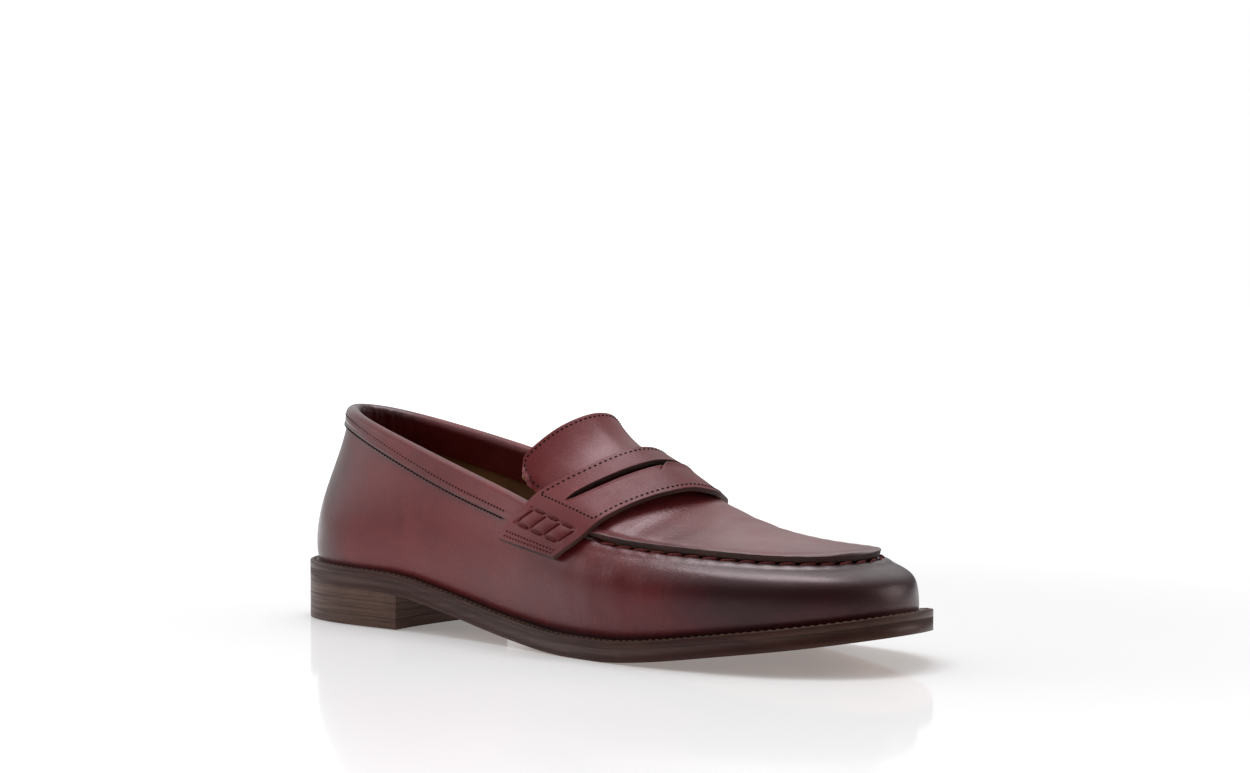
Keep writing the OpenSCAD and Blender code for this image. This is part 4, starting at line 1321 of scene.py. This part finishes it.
# ---------------------------------------------------------------- floor, light and camera
def make_floor():
    """White floor that glows more with distance, so that it runs into the backdrop."""
    mat, nt, bsdf, pos = new_material("floor")
    soft = remap(nt, noise(nt, pos, 3, 2, 0.5), 0.3, 0.7)
    col = blend_colour(nt, soft, (0.87, 0.87, 0.87, 1), (0.89, 0.89, 0.89, 1))
    nt.links.new(col, bsdf.inputs["Base Color"])
    bsdf.inputs["Roughness"].default_value = 0.08
    bsdf.inputs["Specular IOR Level"].default_value = 0.14
    bsdf.inputs["Emission Color"].default_value = (1, 1, 1, 1)
    far = nt.nodes.new("ShaderNodeVectorMath")
    far.operation = "LENGTH"
    nt.links.new(pos, far.inputs[0])
    glow = remap(nt, far.outputs["Value"], 0.15, 0.9, 0.21, 0.9)
    nt.links.new(glow, bsdf.inputs["Emission Strength"])
    mesh = bpy.data.meshes.new("floor")
    s = 6.0
    mesh.from_pydata([(-s, -s, 0), (s, -s, 0), (s, s, 0), (-s, s, 0)], [], [(0, 1, 2, 3)])
    mesh.materials.append(mat)
    floor = bpy.data.objects.new("floor", mesh)
    floor.location.z = cad_low.z - 0.0002
    bpy.context.scene.collection.objects.link(floor)


def area(name, where, target, size, power, colour=(1, 1, 1)):
    light = bpy.data.lights.new(name, "AREA")
    light.shape = "RECTANGLE"
    light.size, light.size_y = size
    light.energy = power
    light.color = colour
    obj = bpy.data.objects.new(name, light)
    obj.location = where
    obj.rotation_euler = (Vector(target) - Vector(where)).to_track_quat("-Z", "Y").to_euler()
    bpy.context.scene.collection.objects.link(obj)
    return obj


def make_light():
    """White studio: bright behind and overhead, darker in front, a large soft light from the left."""
    world = bpy.data.worlds.new("studio")
    world.use_nodes = True
    nt = world.node_tree
    back = nt.nodes["Background"]
    tc = nt.nodes.new("ShaderNodeTexCoord")
    dot = nt.nodes.new("ShaderNodeVectorMath")
    dot.operation = "DOT_PRODUCT"
    nt.links.new(tc.outputs["Generated"], dot.inputs[0])
    dot.inputs[1].default_value = (-0.5, 0.15, 0.85)
    level = remap(nt, dot.outputs["Value"], 0.32, 0.86, 0.16, 1.0)
    rays = nt.nodes.new("ShaderNodeLightPath")
    nt.links.new(math_node(nt, "MAXIMUM", rays.outputs["Is Camera Ray"], level), back.inputs["Strength"])
    back.inputs["Color"].default_value = (1, 1, 1, 1)
    bpy.context.scene.world = world
    area("overhead", (-0.17, 0.14, 1.15), (0.03, 0, 0.03), (0.8, 0.42), 6.7, (0.96, 0.96, 1.0))
    area("left", (-1.3, -0.75, 0.55), (0, 0, 0.05), (1.0, 0.8), 2.9)
    area("right", (0.95, 0.9, 0.45), (0.12, 0, 0.04), (0.8, 0.6), 3.4, (1.0, 0.96, 0.94))
    bpy.context.scene.view_settings.view_transform = "Standard"


# where the camera stands, as degrees and millimetres from the point it looks by, and its lens
AZIMUTH = 41.5
ELEVATION = 7.6
DISTANCE = 1184.0
LENS = 84.96
LOOK = (150.0, 0.0, 0.0)
# slopes of that point to the right of and above the middle of the view
LOOK_RIGHT = -0.0108475
LOOK_UP = -0.0852542


def make_camera():
    cam = bpy.data.cameras.new("camera")
    cam.sensor_width = 36
    cam.lens = LENS
    cam.clip_start = 0.01
    obj = bpy.data.objects.new("camera", cam)
    a, e = math.radians(AZIMUTH), math.radians(ELEVATION)
    look = Vector(placed(LOOK))
    back = Vector((math.sin(a) * math.cos(e), -math.cos(a) * math.cos(e), math.sin(e)))
    obj.location = look + back * DISTANCE * 0.001
    # turn, with no roll, until the look point lies on those slopes
    pitch, yaw = -e, a
    for _ in range(30):
        fwd = Vector((-math.sin(yaw) * math.cos(pitch), math.cos(yaw) * math.cos(pitch), math.sin(pitch)))
        right = Vector((math.cos(yaw), math.sin(yaw), 0))
        up = right.cross(fwd)
        d = look - obj.location
        yaw += d.dot(right) / d.dot(fwd) * -1 + LOOK_RIGHT
        pitch += d.dot(up) / d.dot(fwd) - LOOK_UP
    m = Matrix((right, up, -fwd)).transposed()
    obj.rotation_euler = m.to_euler()
    bpy.context.scene.collection.objects.link(obj)
    bpy.context.scene.camera = obj


make_floor()
make_light()
make_camera()
